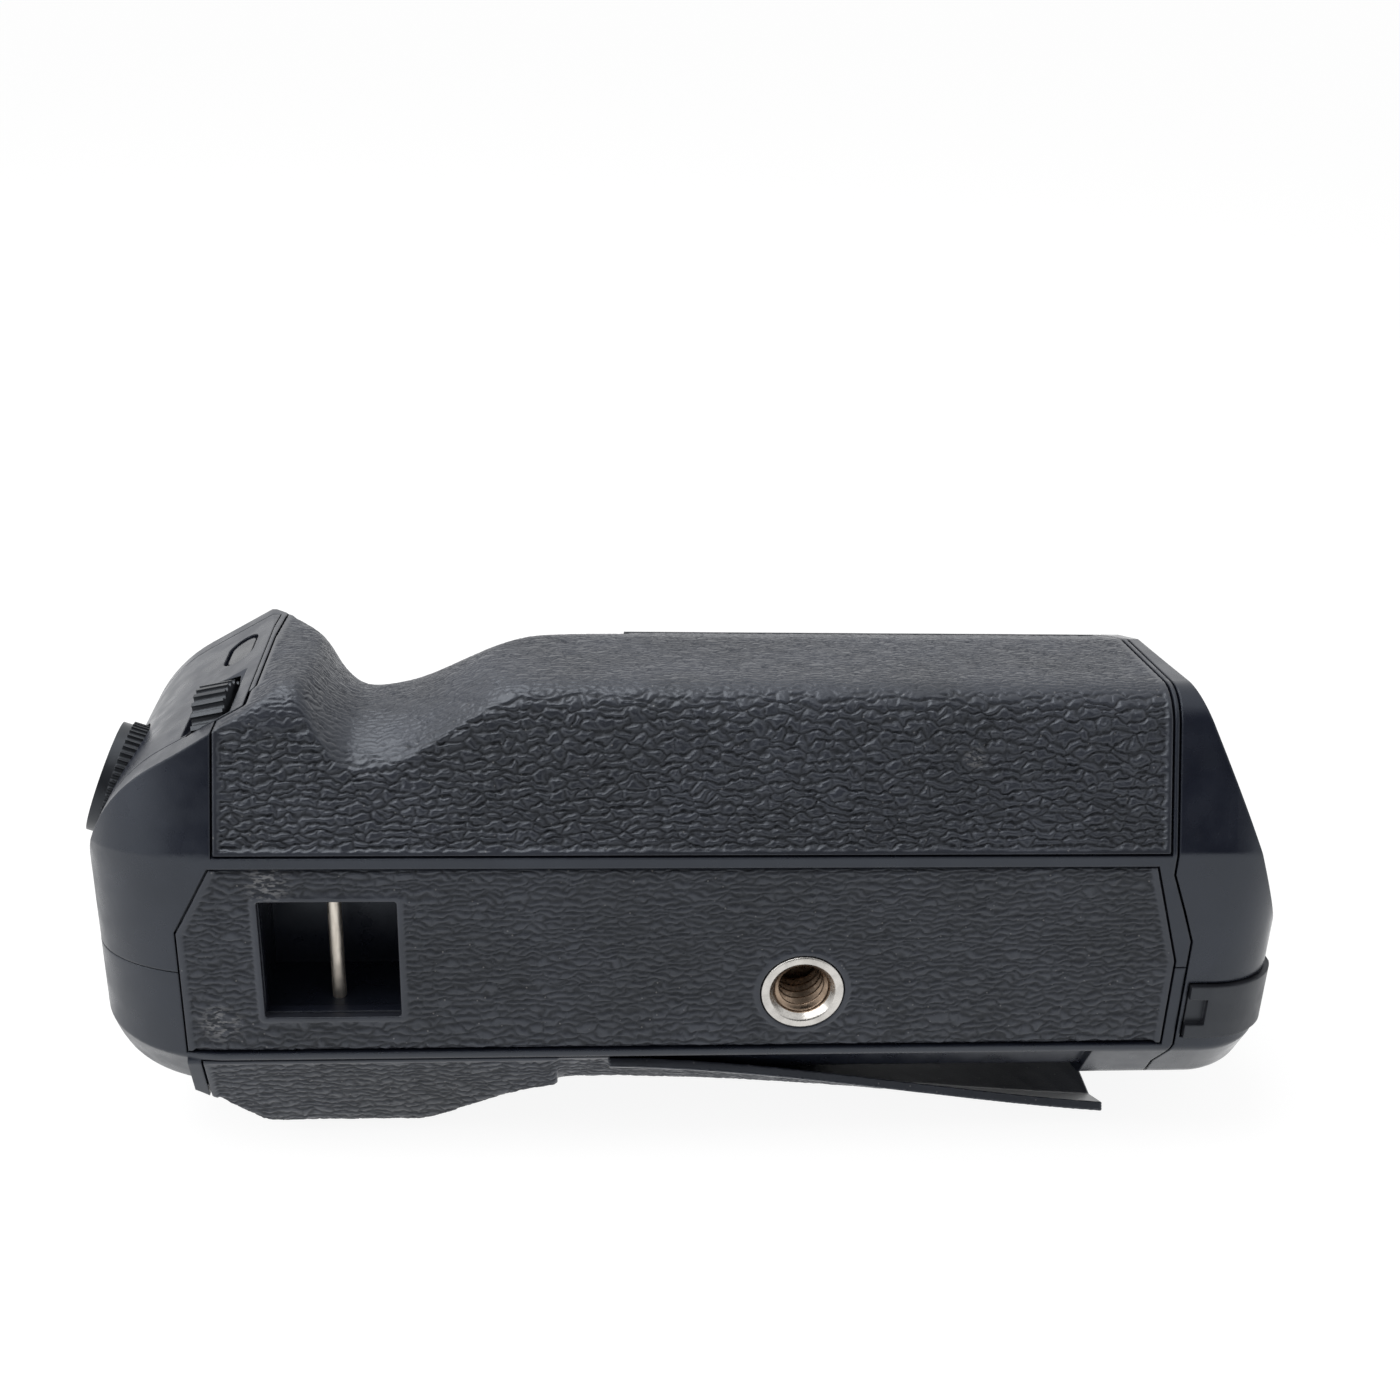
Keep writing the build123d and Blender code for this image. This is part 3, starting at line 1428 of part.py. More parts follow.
def lock_knob():
    place = (0, LOCK_RISE, -LOCK_REAR)
    seat = lock_seat() + SEAT_GAP
    top = door_surface() + LOCK_STAND
    knob = along(place, (1, 0, 0), LOCK_RADIUS, seat, top)
    knob = knob + along(place, (1, 0, 0), LOCK_SHAFT, LOCK_CAM_START, seat)
    plane = key_plane()
    room = KEY_RADIUS + RUN_GAP
    pocket = Circle(room) & Pos(0, room / 2) * Rectangle(2 * room, room)
    pocket = pocket + Pos(0, -KEY_THICK / 4) * Rectangle(2 * room, KEY_THICK + RUN_GAP)
    floor = KEY_THICK / 2 + RUN_GAP
    knob = knob - extrude(plane.offset(-floor) * pocket, OVERRUN)
    return knob - along(plane.origin, plane.x_dir, KEY_PIN + BEARING_GAP, -LOCK_RADIUS, LOCK_RADIUS)


def key_plane():
    """Through the key's hinge: local X is the hinge, local Z points out of the knob."""
    rise = door_surface() + LOCK_STAND - KEY_THICK / 2
    return Plane(origin=(rise, LOCK_RISE, -LOCK_REAR), x_dir=(0, 0, 1), z_dir=(1, 0, 0))


def lock_key():
    plane = key_plane()
    half = KEY_THICK / 2
    leaf = Circle(KEY_RADIUS) & Pos(0, KEY_RADIUS / 2) * Rectangle(2 * KEY_RADIUS, KEY_RADIUS)
    key = extrude(plane.offset(-half) * leaf, KEY_THICK)
    reach = math.sqrt(KEY_RADIUS**2 - half**2)
    key = key + along(plane.origin, plane.x_dir, half, -reach, reach)
    return key - along(plane.origin, plane.x_dir, KEY_PIN + BEARING_GAP, -OVERRUN, OVERRUN)


def key_pin():
    plane = key_plane()
    reach = LOCK_RADIUS - SEAT_GAP
    return along(plane.origin, plane.x_dir, KEY_PIN, -reach, reach)


def lock_cam():
    place = (0, LOCK_RISE, -LOCK_REAR)
    end = LOCK_CAM_START + LOCK_CAM_THICK
    cam = along(place, (1, 0, 0), LOCK_CAM_HUB, LOCK_CAM_START, end)
    half = LOCK_CAM_WIDTH / 2
    cam = cam + block(
        LOCK_CAM_START, end, LOCK_RISE - LOCK_CAM_LENGTH, LOCK_RISE,
        -LOCK_REAR - half, half - LOCK_REAR,
    )
    return cam - along(place, (1, 0, 0), LOCK_SHAFT, 0, end + OVERRUN)


def lock_strike():
    """A steel leaf on the rear shell that reaches into the cap, with a hook for the cam."""
    hook = LOCK_CAM_START + LOCK_CAM_THICK + STRIKE_PLAY
    leaf = STRIKE_THICK - STRIKE_REAR
    foot = WALL - BACK_REAR + SEAT_GAP
    far = STRIKE_BASE + STRIKE_WIDTH
    strike = block(STRIKE_START, hook + STRIKE_THICK, STRIKE_BASE, far, -STRIKE_REAR, leaf)
    strike = strike + block(
        hook, hook + STRIKE_THICK, STRIKE_BASE, far, -STRIKE_REAR, leaf + STRIKE_HOOK,
    )
    return strike + block(STRIKE_START, STRIKE_START + STRIKE_FOOT, STRIKE_BASE, far, foot, leaf)


# Assembly

layer = skin_layer()
body = shells()
low_push, high_push = push_places()
NODES = {
    "front_housing": front_housing(body),
    "rear_housing": rear_housing(body),
    "control_panel": control_panel(),
    "front_skin": front_skin(layer),
    "base_skin": base_skin(layer),
    "rear_skin": rear_skin(layer),
    "mating_plate": mating_plate(),
    "mating_pad": mating_pad(),
    "tripod_socket": tripod_socket(),
    "base_chassis": base_chassis(),
    "strap_pocket": strap_pocket(),
    "strap_bar": strap_bar(),
    "battery_well": battery_well(),
    "well_contacts": well_contacts(),
    "contact_block": contact_block(),
    "contact_pins": contact_pins(),
    "locating_pins": locating_pins(),
    "plate_screws": plate_screws(),
    "screw_bush": screw_bush(),
    "circuit_board": circuit_board(),
    "flex_cable": flex_cable(),
    "button_boards": button_boards(),
    "shutter_switch": shutter_switch(),
    "shutter_dome": shutter_dome(),
    "front_dial_axle": dial_axle(front_dial_plane()),
    "rear_dial_axle": dial_axle(rear_dial_plane()),
    "dial_encoders": [dial_encoder(front_dial_plane()), dial_encoder(rear_dial_plane())],
    "lock_strike": lock_strike(),
    "fixing_wheel": fixing_wheel(),
    "fixing_screw": fixing_screw(),
    "shutter_button": shutter_button(),
    "shutter_collar": shutter_collar(),
    "front_dial": dial(front_dial_plane()),
    "rear_dial": dial(rear_dial_plane()),
    "function_button": function_button(),
    "exposure_button": push_button(high_push),
    "focus_button": push_button(low_push),
    "magazine_end_cap": magazine_end_cap(),
    "cap_inner_plate": cap_inner_plate(),
    "magazine_tray": magazine_tray(),
    "battery_contacts": battery_contacts(),
    "pack_spring": pack_spring(),
    "tray_screws": tray_screws(),
    "door_gasket": door_gasket(),
    "dc_jack": dc_jack(),
    "dc_port_cover": dc_port_cover(),
    "lock_knob": lock_knob(),
    "lock_cam": lock_cam(),
    "lock_key": lock_key(),
    "key_pin": key_pin(),
}


def solids_of(shape):
    return [s for item in shape for s in item.solids()] if isinstance(shape, list) else shape.solids()


def corner_shift(nodes):
    """Put the origin under the middle of the whole grip, on what it rests on."""
    boxes = [solid.bounding_box() for shape in nodes.values() for solid in solids_of(shape)]
    low = [min(box.min.X for box in boxes), min(box.min.Y for box in boxes)]
    high = [max(box.max.X for box in boxes), max(box.max.Y for box in boxes)]
    floor = min(box.min.Z for box in boxes)
    return Vector(-(low[0] + high[0]) / 2, -(low[1] + high[1]) / 2, -floor)


SHIFT = corner_shift(NODES)
for name, shape in NODES.items():
    moved = [solid.translate(SHIFT) for solid in solids_of(shape)]
    export_step(moved[0] if len(moved) == 1 else Compound(moved), f"parts/{name}.step")
print("shift", SHIFT)
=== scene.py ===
import math

import bmesh
import bpy
import numpy as np
from mathutils import Matrix, Vector, kdtree


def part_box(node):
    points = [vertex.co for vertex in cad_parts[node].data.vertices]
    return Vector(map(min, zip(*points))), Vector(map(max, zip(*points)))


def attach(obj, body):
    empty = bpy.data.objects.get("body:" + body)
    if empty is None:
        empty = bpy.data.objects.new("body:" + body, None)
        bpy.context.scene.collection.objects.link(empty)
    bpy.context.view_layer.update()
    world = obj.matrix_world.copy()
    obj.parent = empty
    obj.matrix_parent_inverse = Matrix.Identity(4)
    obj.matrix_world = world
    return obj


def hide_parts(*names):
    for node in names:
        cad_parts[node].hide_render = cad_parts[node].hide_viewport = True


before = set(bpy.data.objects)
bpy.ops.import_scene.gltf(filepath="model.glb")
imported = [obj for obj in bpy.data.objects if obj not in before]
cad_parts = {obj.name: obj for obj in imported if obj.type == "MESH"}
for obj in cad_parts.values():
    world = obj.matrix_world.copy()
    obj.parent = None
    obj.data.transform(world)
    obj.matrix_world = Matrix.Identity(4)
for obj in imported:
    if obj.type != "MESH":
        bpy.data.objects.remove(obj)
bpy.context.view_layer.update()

# Two moulded shells, the plate between grip and camera, and the window that takes the strap.
# Glass-filled plastic, black with a trace of blue, spark-eroded to a fine satin in the mould.
SATIN_BLACK = (0.0102, 0.0122, 0.0198)
SHELL_EDGE = 0.00035
PLASTIC_GLOSS = 0.55
PLASTIC_SHEEN = (0.84, 0.915, 1.0, 1)
PATCH_SIZE = 7.0
GLOSS_PATCH = 3.0
SCRATCH_SIZE = 1.6
SCRATCH_SHARE = 0.42
SCRATCH_GREY = (0.16, 0.16, 0.165)
MID_NOISE = (0.3, 0.7)


def new_material(name):
    """An empty material with its shader and a point of the surface in millimetres."""
    material = bpy.data.materials.new(name)
    material.use_nodes = True
    nodes, links = material.node_tree.nodes, material.node_tree.links
    place = nodes.new("ShaderNodeTexCoord")
    in_mm = nodes.new("ShaderNodeVectorMath")
    in_mm.operation = "SCALE"
    in_mm.inputs["Scale"].default_value = 1000
    links.new(place.outputs["Object"], in_mm.inputs[0])
    return material, nodes, links, nodes["Principled BSDF"], in_mm.outputs[0]


def noise(nodes, links, point, size, detail=3.0, stretch=(1, 1, 1)):
    """Cloudy noise with spots of about size millimetres."""
    scaled = nodes.new("ShaderNodeVectorMath")
    scaled.operation = "MULTIPLY"
    scaled.inputs[1].default_value = [1 / (size * s) for s in stretch]
    links.new(point, scaled.inputs[0])
    cloud = nodes.new("ShaderNodeTexNoise")
    cloud.inputs["Scale"].default_value = 1
    cloud.inputs["Detail"].default_value = detail
    links.new(scaled.outputs[0], cloud.inputs["Vector"])
    return cloud.outputs["Fac"]


def ramp(nodes, links, value, low, high, start=0.0, end=1.0):
    """The value spread from low..high to start..end and held there."""
    spread = nodes.new("ShaderNodeMapRange")
    spread.interpolation_type = "SMOOTHSTEP"
    spread.inputs["From Min"].default_value = low
    spread.inputs["From Max"].default_value = high
    spread.inputs["To Min"].default_value = start
    spread.inputs["To Max"].default_value = end
    links.new(value, spread.inputs["Value"])
    return spread.outputs["Result"]


def tint(nodes, links, share, first, second):
    """A colour between two, by share."""
    mix = nodes.new("ShaderNodeMix")
    mix.data_type = "RGBA"
    mix.inputs["A"].default_value = (*first, 1)
    mix.inputs["B"].default_value = (*second, 1)
    links.new(share, mix.inputs["Factor"])
    return mix.outputs["Result"]


def laid_over(nodes, links, under, colour, share):
    """A colour that lies over another by share, as dust or a scuff does."""
    mix = nodes.new("ShaderNodeMix")
    mix.data_type = "RGBA"
    mix.inputs["B"].default_value = (*colour, 1)
    links.new(under, mix.inputs["A"])
    links.new(share, mix.inputs["Factor"])
    return mix.outputs["Result"]


def multiply(nodes, links, first, second):
    """One value times another."""
    product = nodes.new("ShaderNodeMath")
    product.operation = "MULTIPLY"
    links.new(first, product.inputs[0])
    links.new(second, product.inputs[1])
    return product.outputs[0]


def rounded_edges(nodes, radius):
    """Normals that turn over every sharp edge, as moulded and turned edges do."""
    bevel = nodes.new("ShaderNodeBevel")
    bevel.samples = 4
    bevel.inputs["Radius"].default_value = radius
    return bevel.outputs["Normal"]


def bump(nodes, links, height, depth, normal=None):
    """A normal for a height in units of depth metres."""
    relief = nodes.new("ShaderNodeBump")
    relief.inputs["Strength"].default_value = 1
    relief.inputs["Distance"].default_value = depth
    links.new(height, relief.inputs["Height"])
    if normal:
        links.new(normal, relief.inputs["Normal"])
    return relief.outputs["Normal"]


def scratches(nodes, links, point, size, share):
    """Thin short marks: narrow bands of a stretched noise, kept only in a few patches."""
    lines = noise(nodes, links, point, size, detail=2, stretch=(5.0, 0.35, 0.5))
    rise = ramp(nodes, links, lines, 0.495, 0.5)
    fall = ramp(nodes, links, lines, 0.505, 0.5)
    clouds = noise(nodes, links, point, 9 * size, detail=2)
    patches = ramp(nodes, links, clouds, 1 - share, 1.05 - share)
    return multiply(nodes, links, multiply(nodes, links, rise, fall), patches)


def moulded_plastic(name, colour, roughness, grain, depth, edge, wear):
    """Opaque moulded plastic with the mould's fine grain, uneven gloss and a few handling marks."""
    material, nodes, links, shader, point = new_material(name)
    pale = [min(1.0, 1.5 * part + 0.003) for part in colour]
    patches = ramp(nodes, links, noise(nodes, links, point, PATCH_SIZE), 0.3, 0.75, end=0.55)
    body = tint(nodes, links, patches, colour, pale)
    marks = scratches(nodes, links, point, SCRATCH_SIZE, share=SCRATCH_SHARE * wear)
    seen_marks = ramp(nodes, links, marks, 0, 1, end=0.5 * wear)
    worn = laid_over(nodes, links, body, SCRATCH_GREY, seen_marks)
    links.new(worn, shader.inputs["Base Color"])
    uneven = noise(nodes, links, point, GLOSS_PATCH, detail=4)
    gloss = ramp(nodes, links, uneven, *MID_NOISE, roughness - 0.05, roughness + 0.07)
    links.new(gloss, shader.inputs["Roughness"])
    shader.inputs["Specular IOR Level"].default_value = PLASTIC_GLOSS
    shader.inputs["Specular Tint"].default_value = PLASTIC_SHEEN
    fine = noise(nodes, links, point, grain, detail=2)
    surface = bump(nodes, links, fine, depth, rounded_edges(nodes, edge))
    links.new(surface, shader.inputs["Normal"])
    return material


def dress(material, *names):
    """Give CAD nodes their finish."""
    for name in names:
        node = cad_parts[name]
        node.data.materials.clear()
        node.data.materials.append(material)


satin_shell = moulded_plastic(
    "satin_shell", SATIN_BLACK,
    roughness=0.31, grain=0.16, depth=0.000012, edge=SHELL_EDGE, wear=0.15,
)
dress(satin_shell, "front_housing", "rear_housing", "mating_plate", "strap_pocket")

# The door end of the battery magazine, moulded from the same plastic in a mould of its own.
# It is a little glossier than the shells and has a lip that slides into them.
DOOR_BLACK = (0.0085, 0.0102, 0.0178)
door_plastic = moulded_plastic(
    "door_plastic", DOOR_BLACK,
    roughness=0.22, grain=0.18, depth=0.00001, edge=SHELL_EDGE, wear=0.12,
)
dress(door_plastic, "magazine_end_cap")

# The control panel, a smooth moulded insert of the end wall, held by clips.
# It carries the shutter button, the front dial and the function button.
PANEL_BLACK = (0.0100, 0.0118, 0.0195)
panel_plastic = moulded_plastic(
    "panel_plastic", PANEL_BLACK,
    roughness=0.3, grain=0.2, depth=0.000008, edge=0.0003, wear=0.12,
)
dress(panel_plastic, "control_panel")

# Three leather-grained rubber skins, each moulded 1 mm thick and glued in a recess of the shells.
# A smooth rim runs round each grain field. The rear skin has come off towards the door and hangs.
# All sizes here are millimetres.
SKIN_VOXEL = 0.17
WELD_DISTANCE = 0.002
BODY_AXIS = (-2.5, 31.5)
RIM_ANGLE = 0.8
RIM_FACING = 0.3
RIM_SPACING = 0.25
END_REACH = 7.0
RUBBER_TOP = (0.0255, 0.028, 0.0365)
# Painted shade: the darker colour given to the grain's creases, where shade would fall.
RUBBER_PAINTED_SHADE = (0.006, 0.0065, 0.009)
RUBBER_SHEEN = (0.86, 0.92, 1.0, 1)
RUBBER_CLOUDS = 11.0
DUST_GREY = (0.2, 0.195, 0.19)
SCUFF_GREY = (0.16, 0.16, 0.165)
SCUFFS = (
    ((-46.2, -21.7, 38.1), 3.4),
    ((-52.5, -21.7, 19.8), 3.4),
    ((31.5, -17.5, 51.5), 1.8),
)


def faces_out(normal, place):
    """How squarely a normal points away from the long axis of the grip, from -1 to 1."""
    away = Vector((0, place.y - BODY_AXIS[0], place.z - BODY_AXIS[1]))
    return normal.dot(away.normalized())


def rim_points(form, seamless):
    """Points along the sharp edges where a skin ends. A seamless skin has none between its ends."""
    points = []
    low = min(vert.co.x for vert in form.verts) + END_REACH
    high = max(vert.co.x for vert in form.verts) - END_REACH
    for edge in form.edges:
        if len(edge.link_faces) != 2 or edge.calc_face_angle(0) < RIM_ANGLE:
            continue
        start, end = edge.verts[0].co, edge.verts[1].co
        across = abs(end.x - start.x) < 0.5 * (end - start).length
        if seamless and across and low < start.x < high:
            continue
        if min(faces_out(face.normal, start) for face in edge.link_faces) < RIM_FACING:
            steps = max(1, int((end - start).length / RIM_SPACING))
            points += [start.lerp(end, i / steps) for i in range(steps + 1)]
    return points


def modified(mesh, name, kind, settings, weights=None):
    """A mesh as one modifier leaves it. Weights are vertex shares in tenths, from 0 to 10."""
    holder = bpy.data.objects.new(name, mesh)
    bpy.context.scene.collection.objects.link(holder)
    modifier = holder.modifiers.new(name, kind)
    for setting, value in settings.items():
        setattr(modifier, setting, value)
    if weights is not None:
        group = holder.vertex_groups.new(name=name)
        for step in range(1, 11):
            group.add(np.nonzero(weights == step)[0].tolist(), step / 10, "REPLACE")
        modifier.vertex_group = name
    seen = holder.evaluated_get(bpy.context.evaluated_depsgraph_get())
    result = bpy.data.meshes.new_from_object(seen)
    bpy.data.objects.remove(holder)
    return result


def dense_form(name, seamless):
    """A CAD node's form as one even mesh in millimetres, with the points along its rim."""
    form = bmesh.new()
    form.from_mesh(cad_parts[name].data)
    bmesh.ops.scale(form, vec=(1000, 1000, 1000), verts=form.verts)
    bmesh.ops.remove_doubles(form, verts=form.verts, dist=WELD_DISTANCE)
    edge_points = rim_points(form, seamless)
    coarse = bpy.data.meshes.new(name + "_coarse")
    form.to_mesh(coarse)
    form.free()
    voxels = {"mode": "VOXEL", "voxel_size": SKIN_VOXEL}
    return modified(coarse, name + "_mesh", "REMESH", voxels), edge_points


SOFT_ROUNDS = 200
SOFT_FACTOR = 0.8


def relaxed(mesh, share):
    """The mesh with each vertex drawn towards its neighbours by its share, over and over."""
    smoothing = {"factor": SOFT_FACTOR, "iterations": SOFT_ROUNDS}
    return modified(mesh, "soft", "SMOOTH", smoothing, np.round(share * 10).astype(int))


def vectors_of(values, name):
    """The places or normals of a mesh, one row of three for each vertex."""
    flat = np.zeros(len(values) * 3, np.float32)
    values.foreach_get(name, flat)
    return flat.reshape(-1, 3).astype(float)


def distances(points, targets):
    """How far each point is from the nearest target."""
    tree = kdtree.KDTree(len(targets))
    for i, target in enumerate(targets):
        tree.insert(target, i)
    tree.balance()
    return np.array([tree.find(point)[2] for point in points])


def rising(values, start, width):
    """0 up to start and 1 from start + width on, with a straight rise between."""
    return np.clip((values - start) / width, 0, 1)


WAVE_COUNT = 14
WAVE_LENGTHS = (0.7, 1.6)
WAVE_PEAK = 1.6


def waves(points, size, seed):
    """Smooth noise of about -1 to 1: a sum of waves in seeded directions, size millimetres long."""
    rng = np.random.default_rng(seed)
    total = np.zeros(len(points))
    for _ in range(WAVE_COUNT):
        way = rng.normal(size=3)
        way /= np.linalg.norm(way)
        length = size * rng.uniform(*WAVE_LENGTHS)
        total += np.sin(points @ way * (2 * math.pi / length) + rng.uniform(0, 2 * math.pi))
    return total / math.sqrt(WAVE_COUNT / 2) / WAVE_PEAK


def seeds_of_cells(cells, seed):
    """Three numbers from 0 to 1 for each cell of a flat grid, hashed from its whole coordinates."""
    whole = cells.astype(np.int64)
    mixed = whole[:, 0] * 73856093 ^ whole[:, 1] * 19349663 ^ seed * 2654435761
    numbers = []
    for turn in (1103515245, 69069, 1664525):
        value = (mixed * turn + 12345) & 0xFFFFFFFF
        value = ((value ^ (value >> 15)) * 2246822519) & 0xFFFFFFFF
        value = ((value ^ (value >> 13)) * 3266489917) & 0xFFFFFFFF
        numbers.append(((value ^ (value >> 16)) & 0xFFFF) / 0xFFFF)
    return np.stack(numbers, axis=1)


CELL_JITTER = 0.85


def grain_cells(flat, cell, seed):
    """Each point's distance to its cell's border, how level that is, and the cell's number."""
    size = np.array(cell)
    scaled = flat / size
    ground = np.floor(scaled)
    nearest = np.full(len(flat), np.inf)
    middle = np.zeros_like(flat)
    number = np.zeros(len(flat))
    middles = []
    for i in (-1, 0, 1):
        for j in (-1, 0, 1):
            place = ground + (i, j)
            seeds = seeds_of_cells(place, seed)
            other = place + 0.5 + CELL_JITTER * (seeds[:, :2] - 0.5)
            middles.append(other)
            distance = ((other - scaled) ** 2).sum(axis=1)
            closer = distance < nearest
            nearest[closer] = distance[closer]
            middle[closer] = other[closer]
            number[closer] = seeds[closer, 2]
    border = np.full(len(flat), np.inf)
    level = np.ones(len(flat))
    for other in middles:
        way = other - middle
        length = np.linalg.norm(way, axis=1)
        way /= np.maximum(length, 1e-6)[:, None]
        slope = way / size
        steep = np.maximum(np.linalg.norm(slope, axis=1), 1e-6)
        gap = (((other + middle) / 2 - scaled) * way).sum(axis=1) / steep
        closer = (length > 1e-4) & (gap < border)
        border[closer] = gap[closer]
        level[closer] = np.abs(slope[closer, 1]) / steep[closer]
    return np.clip(border, 0, 2), level, number


CREASE_ACROSS = 0.4


def pillows(flat, cell, rounding, seed):
    """Rounded cells: 0 on their tops and 1 in the creases, which run deepest along the grip."""
    border, level, number = grain_cells(flat, cell, seed)
    fall = np.clip(1 - border / rounding, 0, 1) ** 2
    return fall * (CREASE_ACROSS + (1 - CREASE_ACROSS) * level), number


# The grain's cells bend by a reach over a length, along the grip and round it. Rounding and depth
# are those of the plain grain and what the bevel's deep grain adds to them.
BENDS_ALONG = ((0.35, 2.8),)
BENDS_ROUND = ((0.22, 2.4), (0.12, 0.9))
FADE = (0.95, 0.16, 2.2)
FADE_LIMITS = (0.6, 1.3)
BROAD_ROUNDING = (0.32, 0.26)
BROAD_DEPTH = (0.5, 0.4)
SMALL_CELL = (0.45, 0.55)
SMALL_ROUNDING = 0.24
SMALL_DEPTH = (0.1, 0.15)
FINE_CELL = (1.5, 0.6)
FINE_ROUNDING = 0.26
UNEVEN_TOPS = 0.2
FAINT_DEPTH = 0.35
# How much each size of cell counts: fine and small in the faint grain, broad and small in the
# shade painted into the strong grain's creases, and fine alone in the shade painted into the faint
# grain's.
FAINT_MIX = (0.7, 0.3)
STRONG_PAINTED_SHADE = (0.9, 0.2)
FAINT_PAINTED_SHADE = 0.6
# Where the strong grain and the deep grain begin, as a start and a width of the rise: by how
# squarely the skin faces the base, and on the horn by its distance and height.
BEVEL_FACING = (0.26, 0.2)
DEEP_FACING = (0.5, 0.38)
EDGE_WANDER = 3.0
BEVEL_WANDER = 0.07
HORN_WANDER = 0.7
HORN_REACH = (31, 9)
HORN_HEIGHT = (53.5, 2.5)


def leather_grain(near, out, girth, cell, seed, ridge_only):
    """How deep the grain is at each point, and how much shade is painted into its creases, both
    from 0 to about 1.
    """
    flat = np.stack((near[:, 0], girth), axis=1)
    bends = [(0, *bend) for bend in BENDS_ALONG] + [(1, *bend) for bend in BENDS_ROUND]
    for turn, (axis, reach, length) in enumerate(bends, 1):
        flat[:, axis] += reach * waves(near, length, seed + turn)
    fade = np.clip(FADE[0] + FADE[1] * waves(near, FADE[2], seed + 4), *FADE_LIMITS)
    deep = rising(-out[:, 1], *DEEP_FACING) if ridge_only else np.ones(len(near))
    small_cell = (SMALL_CELL[0] * cell[0], SMALL_CELL[1] * cell[1])
    broad_rounding = BROAD_ROUNDING[0] + BROAD_ROUNDING[1] * deep
    broad, number = pillows(flat, cell, broad_rounding, seed + 5)
    small = pillows(flat, small_cell, SMALL_ROUNDING, seed + 6)[0]
    fine = pillows(flat, FINE_CELL, FINE_ROUNDING, seed + 7)[0]
    creases = (BROAD_DEPTH[0] + BROAD_DEPTH[1] * deep) * broad
    creases += (SMALL_DEPTH[0] + SMALL_DEPTH[1] * deep) * small
    strong = fade * creases + UNEVEN_TOPS * deep * number
    faint = FAINT_DEPTH * fade * (FAINT_MIX[0] * fine + FAINT_MIX[1] * small)
    share = np.ones(len(near))
    if ridge_only:
        edge = BEVEL_WANDER * waves(near, EDGE_WANDER, seed + 8)
        share = rising(-out[:, 1] + edge, *BEVEL_FACING)
        top = HORN_WANDER * waves(near, EDGE_WANDER, seed + 9)
        horn = rising(-near[:, 0], *HORN_REACH) * rising(near[:, 2] + top, *HORN_HEIGHT)
        share *= 1 - horn
    relief = share * strong + (1 - share) * faint
    # Painted shade for the creases, strongest along the borders of the broad cells.
    painted_shade = share * (STRONG_PAINTED_SHADE[0] * broad + STRONG_PAINTED_SHADE[1] * small)
    painted_shade += (1 - share) * FAINT_PAINTED_SHADE * fine
    return relief, np.clip(painted_shade, 0, 1)


SKIN_RIM = 1.0
RIM_TO_SOFT = (0.6, 2.5)
RIM_TO_GRAIN = (0.5, 0.4)
SIDE_FADE = 4
TOPS_DEPTH = 0.02


def leather_skin(name, cell, crease, seed, ridge_only=False, seamless=False):
    """A rubber skin with leather grain pressed into its outer side, shade painted into its creases,
    and its rim left smooth.

    With ridge_only the strong grain stays on the bevel and turns faint on the front."""
    mesh, edge_points = dense_form(name, seamless)
    points = vectors_of(mesh.vertices, "co")
    normals = vectors_of(mesh.vertex_normals, "vector")
    outward = points[:, 1:] - np.array(BODY_AXIS)
    reach = np.linalg.norm(outward, axis=1)
    facing = (normals[:, 1:] * outward).sum(axis=1) / reach
    outside = np.nonzero(facing > 0)[0]
    to_rim = distances(points[outside], edge_points)
    soft = np.zeros(len(points))
    soft[outside] = rising(to_rim / SKIN_RIM, *RIM_TO_SOFT)
    mesh = relaxed(mesh, soft)
    points = vectors_of(mesh.vertices, "co")
    near, out = points[outside], vectors_of(mesh.vertex_normals, "vector")[outside]
    girth = np.arctan2(outward[outside, 1], -outward[outside, 0]) * reach[outside].mean()
    relief, painted_shade = leather_grain(near, out, girth, cell, seed, ridge_only)
    field = rising(to_rim / SKIN_RIM, *RIM_TO_GRAIN) * np.clip(SIDE_FADE * facing[outside], 0, 1)
    depth = np.clip(field * (TOPS_DEPTH + crease * relief), 0, 2 * crease)
    points[outside] -= out * depth[:, None]
    points /= 1000
    mesh.vertices.foreach_set("co", points.ravel())
    # The crease attribute carries painted shade: how much darker each point of the creases is
    # coloured.
    shade = mesh.attributes.new("crease", "FLOAT", "POINT")
    creases = np.zeros(len(points), np.float32)
    creases[outside] = field * painted_shade
    shade.data.foreach_set("value", creases)
    mesh.shade_smooth()
    mesh.update()
    piece = bpy.data.objects.new(name.replace("_skin", "_leather"), mesh)
    bpy.context.scene.collection.objects.link(piece)
    piece.data.materials.append(grained_rubber)
    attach(piece, "grip")
    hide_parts(name)


grained_rubber, nodes, links, shader, point = new_material("grained_rubber")
# Painted shade: the colour darkens from the tops into the creases by the crease attribute.
painted_shade_amount = nodes.new("ShaderNodeAttribute")
painted_shade_amount.attribute_name = "crease"
painted_shade_share = ramp(nodes, links, painted_shade_amount.outputs["Fac"], 0.2, 0.95)
tops_and_painted_shade = tint(nodes, links, painted_shade_share, RUBBER_TOP, RUBBER_PAINTED_SHADE)
uneven = nodes.new("ShaderNodeVectorMath")
uneven.operation = "SCALE"
links.new(tops_and_painted_shade, uneven.inputs[0])
clouds = ramp(nodes, links, noise(nodes, links, point, RUBBER_CLOUDS), *MID_NOISE, 0.8, 1.25)
links.new(clouds, uneven.inputs["Scale"])
dust = nodes.new("ShaderNodeTexVoronoi")
dust.inputs["Scale"].default_value = 0.7
dust.inputs["Randomness"].default_value = 1
links.new(point, dust.inputs["Vector"])
specks = ramp(nodes, links, dust.outputs["Distance"], 0.095, 0.05, end=0.5)
worn = laid_over(nodes, links, uneven.outputs[0], DUST_GREY, specks)
